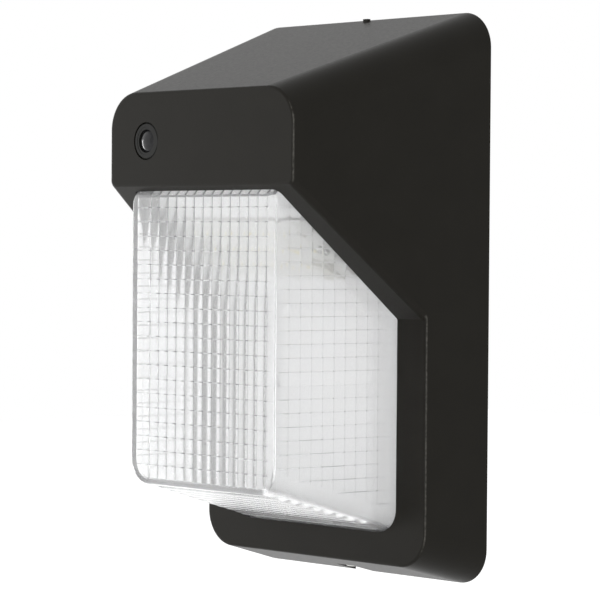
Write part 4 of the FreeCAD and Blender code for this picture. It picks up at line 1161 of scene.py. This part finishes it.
    def flute_floor(self, skin: bpy.types.Object) -> None:
        """Sink the valleys between the flutes under the outer skin's floor."""
        edit(skin)
        self.slice_depths(self.floor_flutes.places(self.shares))
        leave_edit()
        press(skin, "floor_flutes", -self.floor_flutes.height, self.floor_valley)

    def front_ridge(self, point: Vector) -> float:
        """How far the front's flutes stand out at a point, from 0 to 1."""
        on_front = abs(point.y - FORM.y(self.depth - self.wall)) <= SAME
        if not on_front or abs(point.x) > -self.front_flutes.start:
            return 0.0
        return 1 - self.front_flutes.valley(point.x)

    def side_ridge(self, point: Vector) -> float:
        """How far a side's flutes stand out at a point, from 0 to 1."""
        depth = FORM.depth_of(point)
        on_side = abs(abs(point.x) - self.half_at(depth) + self.wall) < NEAR
        if not on_side or not self.side_flutes.start < depth < self.side_flutes.end:
            return 0.0
        return 1 - self.side_flutes.valley(depth)

    def floor_valley(self, point: Vector) -> float:
        """How deep the floor's valleys are at a point, from 0 to 1."""
        depth = FORM.depth_of(point)
        above = point.z - self.floor_at(depth)
        run_out = min(max(1 - above / self.floor_flutes.height, 0.0), 1.0)
        return self.floor_flutes.valley(depth) * run_out

    def add_flange(self, skin: bpy.types.Object) -> None:
        """Turn the outer skin's open end out into the flange."""
        edit(skin, Element.EDGES)
        pick_open_end()
        bpy.ops.mesh.extrude_edges_move(TRANSFORM_OT_translate={"value": (0, 0, 0)})
        half = self.half_at(FORM.lip_depth)
        bpy.ops.transform.resize(value=(1 + self.flange_width / half, 1, 1), center_override=(0, 0, 0))
        ends = [v for v in edit_mesh().verts if v.select]
        lowest = min(v.co.z for v in ends)
        highest = max(v.co.z for v in ends)
        for vert in ends:
            if vert.co.z < lowest + self.flange_end:
                vert.co.z -= self.flange_width
            elif vert.co.z > highest - self.flange_end:
                vert.co += FORM.along * self.flange_width
        update_edit_mesh()
        self.extend_end(self.flange_thick)
        leave_edit()

    def add_collar(self, skin: bpy.types.Object) -> None:
        """Lengthen the inner skin to the flange's back."""
        edit(skin, Element.EDGES)
        pick_open_end()
        self.extend_end(self.collar)
        leave_edit()

    @staticmethod
    def extend_end(length: float) -> None:
        """Extrude the selected open end into the housing, in edit mode, and plain its rim."""
        bpy.ops.mesh.extrude_edges_move(TRANSFORM_OT_translate={"value": FORM.layer_step(length)})
        plain_rim()

    def build(self) -> None:
        """Model the lens, in place of the CAD lens, and hang it on the housing."""
        outer = self.skin("lens_shell", 0.0, self.edge, self.flange_front)
        self.score(outer)
        self.flute_floor(outer)
        self.add_flange(outer)
        stop = self.flange_front + self.flange_thick - self.collar
        inner = self.skin("lens_inner", self.wall, self.inner_edge, stop)
        self.flute_inside(inner)
        self.add_collar(inner)
        lens = join([outer, inner], "ribbed_lens")
        edit(lens, Element.EDGES)
        pick_open_end()
        bpy.ops.mesh.fill(use_beauty=False)
        bpy.ops.mesh.select_all(action="SELECT")
        bpy.ops.mesh.quads_convert_to_tris(ngon_method="BEAUTY")
        bpy.ops.mesh.normals_make_consistent(inside=False)
        leave_edit()
        smooth(lens, self.crease)
        CLEAR.on(lens)
        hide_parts("lens")
        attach(lens, Body.HOUSING.value)
        LOG.info("lens: %d faces", len(lens.data.polygons))


# ---------------------------------------------------------------- fasteners
@dataclass
class PanScrew:
    """Pan-head screw with a cross recess and a ridged shank, pointing along its own +Z.

    Attributes:
        name: The piece's name.
        length: Shank length below the head.
        radius: Shank radius.
        head_radius: Head radius.
        head_thick: Head height.
        pitch: Thread pitch.
        recess: Half the recess's span.
        sides: How many sides it has round its axis.
        flat: Share of the head's radius that is flat on top.
        round_drop: Share of the head's height over which the top's edge is rounded.
        round_steps: Steps of that round.
        root: Share of the shank's radius that is left at the bottom of the thread.
        tip: Share of the shank's radius that is left at its tip.
        tip_length: Length of the tip, as a share of the shank's radius.
        slot_width: Width of each slot of the recess, as a share of the span.
        recess_floor: Height of the recess's floor above the seat, as a share of the head's height.
        recess_taper: Share of the recess's span that is left at its floor.
    """

    name: str
    length: float
    radius: float = 1.5 * MM
    head_radius: float = 2.8 * MM
    head_thick: float = 1.8 * MM
    pitch: float = 0.5 * MM
    recess: float = 1.5 * MM
    sides: int = 24
    flat: float = 0.55
    round_drop: float = 0.6
    round_steps: int = 4
    root: float = 0.84
    tip: float = 0.6
    tip_length: float = 0.2
    slot_width: float = 0.22
    recess_floor: float = 0.35
    recess_taper: float = 0.6

    def profile(self) -> list[tuple[float, float]]:
        """Half outline from the head's top to the shank's tip."""
        head = self.head_thick
        root = self.radius * self.root
        points = [(0.0, -head), (self.head_radius * self.flat, -head)]
        for step in range(1, self.round_steps + 1):
            turn = math.pi / 2 * step / self.round_steps
            out = self.flat + (1 - self.flat) * math.sin(turn)
            points.append((self.head_radius * out, -head + head * self.round_drop * (1 - math.cos(turn))))
        points += [(self.head_radius, 0.0), (self.radius, 0.0)]
        z = self.pitch
        while z + self.pitch < self.length:
            points += [(self.radius, z), (root, z + self.pitch / 2)]
            z += self.pitch
        points += [(root, self.length - self.radius * self.tip_length), (self.radius * self.tip, self.length)]
        points.append((0.0, self.length))
        return points

    def build(self) -> bpy.types.Object:
        """Model the screw at the origin, its head's seat at z = 0."""
        screw = lathe(self.name, self.profile(), self.sides)
        narrow = self.recess * self.slot_width
        floor = -self.head_thick * self.recess_floor
        for wide, deep in ((narrow, self.recess), (self.recess, narrow)):
            cutter = add_block("recess", Vector((-wide, -deep, -self.head_thick * 2)),
                               Vector((wide, deep, floor)))
            edit(cutter)
            pick_points(lambda p: p.z > floor - SAME)
            bpy.ops.transform.resize(value=(self.recess_taper, self.recess_taper, 1),
                                     center_override=(0, 0, floor))
            leave_edit()
            cut_away(screw, cutter)
        weld(screw)
        return smooth(screw)


def place_screws(kind: PanScrew, seats: Iterable[Seat], node: str, body: Body, finish: Finish) -> None:
    """Put copies of one screw on their seats, in place of a CAD node.

    Args:
        kind: The screw.
        seats: Where each head sits, and the direction of its shank.
        node: The CAD node that they stand for.
        body: The body that they ride on.
        finish: Their finish.
    """
    seats = list(seats)
    group = repeat(kind.build(), seats, kind.name)
    finish.on(group)
    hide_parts(node)
    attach(group, body.value)
    LOG.info("%s: %d screws", kind.name, len(seats))


def seats_along_y(node: str, head_thick: float) -> Iterator[Seat]:
    """Seats of the screws in a node whose shanks point at the viewer.

    Args:
        node: The CAD node.
        head_thick: Their heads' height.

    Yields:
        Each seat and shank direction.
    """
    for screw in solids(node):
        yield Vector((screw.centre.x, screw.high.y - head_thick, screw.centre.z)), OUTWARD


# ---------------------------------------------------------------- sub-assemblies
def dress(finishes: dict[str, Finish]) -> None:
    """Give CAD nodes their finishes."""
    for node, finish in finishes.items():
        finish.on(frame["nodes"][node])
        LOG.info("%s: %s", node, finish.name)


@dataclass
class Housing:
    """Die-cast housing with its seals."""

    def build(self) -> None:
        """Dress the housing and its seals."""
        dress({"housing_shell": COAT, "housing_seal": FOAM, "lens_gasket": SILICONE})


@dataclass
class LightSource:
    """Board with its LED packages, the sheet and the heat spreader behind it.

    Attributes:
        chip: Side of a package.
        chip_thick: Height of a package.
        rim: Width of a package's rim round its phosphor.
        sink: Depth of the phosphor below the rim.
        board_front: Offset of the board's face behind the diagonal.
        board_screw_length: Shank length of the board's screws.
        panel_screw_length: Shank length of the spreader's screws.
    """

    chip: float = 3.0 * MM
    chip_thick: float = 0.7 * MM
    rim: float = 0.4 * MM
    sink: float = 0.12 * MM
    board_front: float = 5.9 * MM
    board_screw_length: float = 5.1 * MM
    panel_screw_length: float = 8.0 * MM

    def package(self) -> bpy.types.Object:
        """One LED package, its light leaving along its own +Z."""
        half = self.chip / 2
        body = add_block("led_package", Vector((-half, -half, 0)), Vector((half, half, self.chip_thick)))
        edit(body, Element.FACES)
        pick(Element.FACES, lambda face: face.normal.dot(Z_AXIS) > FACING)
        bpy.ops.mesh.inset(thickness=self.rim)
        bpy.ops.mesh.inset(thickness=self.sink, depth=-self.sink)
        leave_edit()
        body.data.materials.append(PACKAGE.build())
        body.data.materials.append(PHOSPHOR.build())
        top = self.chip_thick - self.sink
        for polygon in body.data.polygons:
            if abs(polygon.center.z - top) < SAME and polygon.normal.z > FACING:
                polygon.material_index = 1
        return body

    def package_seats(self) -> Iterator[Seat]:
        """Seats of the LED packages on the board's face."""
        out = -FORM.inward
        for chip in solids("led_chips"):
            yield chip.centre - out * self.chip_thick / 2, out

    def packages(self) -> None:
        """Add all the LED packages on the board, in place of the plain ones."""
        seats = list(self.package_seats())
        group = repeat(self.package(), seats, "led_packages")
        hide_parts("led_chips")
        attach(group, Body.HOUSING.value)
        LOG.info("LED packages: %d", len(seats))

    def board_screw_seats(self) -> Iterator[Seat]:
        """Seats of the board's two screws, whose heads lie on the board's face."""
        for screw in solids("led_board_screws"):
            offset = (screw.centre - FORM.on_diagonal(0, 0, self.board_front)).dot(FORM.inward)
            yield screw.centre - FORM.inward * offset, FORM.inward

    def build(self) -> None:
        """Dress the light source's plates and add its packages and screws."""
        dress({"reflector": SHEET, "heat_spreader": ALUMINIUM, "thermal_pad": PAD, "led_board": MASK,
               "led_connector": NYLON})
        self.packages()
        board = PanScrew("board_screws", self.board_screw_length)
        place_screws(board, self.board_screw_seats(), "led_board_screws", Body.HOUSING, ZINC)
        panel = PanScrew("spreader_pan_screws", self.panel_screw_length)
        seats = seats_along_y("spreader_screws", panel.head_thick)
        place_screws(panel, seats, "spreader_screws", Body.HOUSING, ZINC)


@dataclass
class Driver:
    """Driver in its metal case.

    Attributes:
        screw_length: Shank length of its screws.
    """

    screw_length: float = 6.6 * MM

    def build(self) -> None:
        """Dress the driver and add its screws."""
        dress({"driver_case": CASE, "driver_cover": CASE, "driver_board": GREEN_MASK})
        screw = PanScrew("driver_pan_screws", self.screw_length)
        seats = seats_along_y("driver_screws", screw.head_thick)
        place_screws(screw, seats, "driver_screws", Body.HOUSING, ZINC)


@dataclass
class Photocell:
    """Button photocell in the hood's face.

    Attributes:
        rise: Height of the dome above its rim.
        rings: Steps of the dome's curve.
        sides: How many sides the dome has round its axis.
    """

    rise: float = 1.6 * MM
    rings: int = 12
    sides: int = 48

    def dome(self) -> None:
        """Add the smoked dome, turned round its axis and seated where the plain one is."""
        low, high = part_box("photocell_dome")
        radius = (high.x - low.x) / 2
        thick = high.y - low.y
        ball = (radius ** 2 + self.rise ** 2) / (2 * self.rise)
        widest = math.asin(radius / ball)
        profile = [(0.0, 0.0), (radius, 0.0)]
        for ring in range(self.rings):
            turn = widest * (1 - ring / self.rings)
            profile.append((ball * math.sin(turn), thick - ball * (1 - math.cos(turn))))
        profile.append((0.0, thick))
        dome = lathe("smoked_cap", profile, self.sides)
        aim(dome, Vector(((low.x + high.x) / 2, high.y, (low.z + high.z) / 2)), OUTWARD)
        smooth(dome)
        SMOKED.on(dome)
        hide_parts("photocell_dome")
        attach(dome, Body.HOUSING.value)
        LOG.info("dome: %d faces", len(dome.data.polygons))

    def build(self) -> None:
        """Dress the photocell's pieces and add its dome."""
        dress({"photocell_body": BLACK, "photocell_bezel": BLACK, "photocell_washer": SILICONE})
        self.dome()


@dataclass
class Wiring:
    """Terminal block and leads."""

    def build(self) -> None:
        """Dress the terminal block and the leads."""
        dress({"terminal_block": NYLON, "terminal_screws": ZINC, "photocell_leads": WIRE_BLACK,
               "line_leads": WIRE_BLACK, "led_leads": WIRE_RED})


@dataclass
class WallPlate:
    """Plate on the wall with its gasket, grommet and ground screw.

    Attributes:
        ground_head: Head radius of the ground screw.
        ground_length: Shank length of the ground screw.
    """

    ground_head: float = 3.8 * MM
    ground_length: float = 4.0 * MM

    def build(self) -> None:
        """Dress the plate's pieces and add the ground screw."""
        dress({"back_plate": SPANGLE, "wall_gasket": FOAM, "cable_grommet": SILICONE})
        screw = PanScrew("ground_pan_screw", self.ground_length, head_radius=self.ground_head)
        low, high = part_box("ground_screw")
        centre = (low + high) / 2
        seat = Vector((centre.x, low.y + screw.head_thick, centre.z))
        place_screws(screw, [(seat, Y_AXIS)], "ground_screw", Body.PLATE, GREEN_DYE)


@dataclass
class Lock:
    """Locking screw and its washer under the bottom rim.

    Attributes:
        radius: Shank radius.
        head: Head radius.
        head_thick: Head height.
        pitch: Thread pitch.
        recess: Half the recess's span.
    """

    radius: float = 2.0 * MM
    head: float = 3.9 * MM
    head_thick: float = 2.2 * MM
    pitch: float = 0.7 * MM
    recess: float = 2.0 * MM

    def build(self) -> None:
        """Add the screw and dress the washer."""
        dress({"lock_washer": ZINC})
        low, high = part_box("lock_screw")
        centre = (low + high) / 2
        seat = Vector((centre.x, centre.y, low.z + self.head_thick))
        screw = PanScrew("lock_pan_screw", high.z - seat.z, self.radius, self.head, self.head_thick,
                         self.pitch, self.recess)
        place_screws(screw, [(seat, Z_AXIS)], "lock_screw", Body.LOCK, ZINC)


# ---------------------------------------------------------------- stage
@dataclass(frozen=True)
class Lamp:
    """Soft rectangular lamp.

    Attributes:
        name: Its name.
        place: Where it is, from the point it faces.
        size: Its width and height.
        power: Its power in watts.
    """

    name: str
    place: tuple[float, float, float]
    size: tuple[float, float]
    power: float

    def build(self, target: Vector) -> None:
        """Add the lamp, facing a point."""
        data = bpy.data.lights.new(self.name, "AREA")
        data.shape = "RECTANGLE"
        data.size, data.size_y = self.size
        data.energy = self.power
        lamp = bpy.data.objects.new(self.name, data)
        place = target + Vector(self.place)
        lamp.location = place
        lamp.rotation_euler = (target - place).to_track_quat("-Z", "Y").to_euler()
        bpy.context.scene.collection.objects.link(lamp)


@dataclass
class Studio:
    """Pale floor, soft lamps and a white surround.

    Attributes:
        floor_gap: How far the floor lies below the light, which hangs from its plate.
        floor_size: Side of the floor.
        floor_colour: Colour of the floor.
        floor_roughness: Roughness of the floor.
        floor_glow: How much the floor is lightened where it is seen.
        ambient: Strength of the surround on the object.
        target: The point that the lamps face.
        lamps: The lamps.
    """

    floor_gap: float = 0.25
    floor_size: float = 8.0
    floor_colour: Colour = (0.86, 0.86, 0.86)
    floor_roughness: float = 0.9
    floor_glow: float = 0.55
    ambient: float = 0.72
    target: tuple[float, float, float] = (0, -0.05, 0)
    lamps: tuple[Lamp, ...] = (
        Lamp("softbox", (-1.1, -1.01, 0.05), (2.0, 2.0), 6.0),
        Lamp("strip", (1.25, -0.55, 0.1), (0.35, 0.35), 1.2),
        Lamp("kicker", (-1.2, -0.24, -0.22), (0.12, 0.8), 4.0),
        Lamp("low_front", (0.77, -1.34, -0.41), (1.2, 1.2), 20.0))

    def floor(self) -> None:
        """Add the pale floor."""
        low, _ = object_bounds()
        deselect_all()
        bpy.ops.mesh.primitive_plane_add(size=self.floor_size, location=(0, 0, low.z - self.floor_gap))
        floor = bpy.context.active_object
        floor.name = "floor"
        settle(floor)
        nodes = Nodes("pale_floor")
        nodes.set(Base_Color=(*self.floor_colour, 1), Roughness=self.floor_roughness, Specular_IOR_Level=0.0,
                  Emission_Color=WHITE)
        nodes.feed("Emission Strength", nodes.seen_directly(0.0, self.floor_glow))
        floor.data.materials.append(nodes.material)
        floor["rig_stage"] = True

    def surround(self) -> None:
        """White world, softer where it lights the object."""
        world = bpy.data.worlds.new("surround")
        bpy.context.scene.world = world
        world.use_nodes = True
        tree = Tree(world.node_tree)
        background = world.node_tree.nodes["Background"]
        background.inputs["Color"].default_value = WHITE
        tree.link(tree.seen_directly(self.ambient, 1.0), background.inputs["Strength"])

    def build(self) -> None:
        """Set the stage and the lamps."""
        self.floor()
        self.surround()
        for lamp in self.lamps:
            lamp.build(Vector(self.target))
        bpy.context.scene.view_settings.view_transform = "Standard"


@dataclass
class Viewpoint:
    """Camera at a long lens's distance, looking at the light from its front right.

    Attributes:
        azimuth: Angle from straight ahead towards +X.
        tilt: How far it looks down.
        roll: Its roll.
        distance: Distance to the reference point.
        reference: The point it is aimed at, before the aim is moved.
        focal: Focal length, in pixels of the 600 pixel frame.
        centre: Where the reference point falls in the frame, in pixels.
        frame_size: Side of the frame, in pixels.
        sensor: Sensor width, in millimetres.
        reach: How far it sees.
    """

    azimuth: float = math.radians(47.453)
    tilt: float = math.radians(1.146)
    roll: float = math.radians(0.421)
    distance: float = 1.17691
    reference: Vector = field(default_factory=lambda: Vector((0, -0.053, 0)))
    focal: float = 2772.4
    centre: tuple[float, float] = (281.87, 296.61)
    frame_size: float = 600.0
    sensor: float = 36.0
    reach: float = 20.0

    def build(self) -> None:
        """Create the camera and make it the scene's."""
        sin_a, cos_a = math.sin(self.azimuth), math.cos(self.azimuth)
        forward = Vector((-sin_a * math.cos(self.tilt), cos_a * math.cos(self.tilt), -math.sin(self.tilt)))
        flat_right = Vector((cos_a, sin_a, 0))
        flat_up = flat_right.cross(forward)
        right = flat_right * math.cos(self.roll) + flat_up * math.sin(self.roll)
        up = flat_up * math.cos(self.roll) - flat_right * math.sin(self.roll)
        scale = self.distance / self.focal
        aside = (self.centre[0] - self.frame_size / 2) * scale
        raised = (self.centre[1] - self.frame_size / 2) * scale
        data = bpy.data.cameras.new("camera")
        data.sensor_width = self.sensor
        data.lens = self.focal * self.sensor / self.frame_size
        data.clip_end = self.reach
        camera = bpy.data.objects.new("camera", data)
        matrix = camera.matrix_world.copy()
        for row in range(3):
            matrix[row][0] = right[row]
            matrix[row][1] = up[row]
            matrix[row][2] = -forward[row]
        matrix.translation = self.reference - forward * self.distance - right * aside + up * raised
        camera.matrix_world = matrix
        bpy.context.scene.collection.objects.link(camera)
        bpy.context.scene.camera = camera


def write_sizes() -> None:
    """Update the view layer."""
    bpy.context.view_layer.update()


def main() -> None:
    """Build every sub-assembly around the frame, then the stage and the camera."""
    logging.basicConfig(level=logging.INFO, format="%(message)s", stream=sys.stdout)
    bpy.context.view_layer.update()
    for assembly in (Housing(), Lens(), LightSource(), Driver(), Photocell(), Wiring(), WallPlate(), Lock()):
        LOG.info("-- %s", type(assembly).__name__)
        assembly.build()
    write_sizes()
    Studio().build()
    Viewpoint().build()


if __name__ == "__main__":
    main()
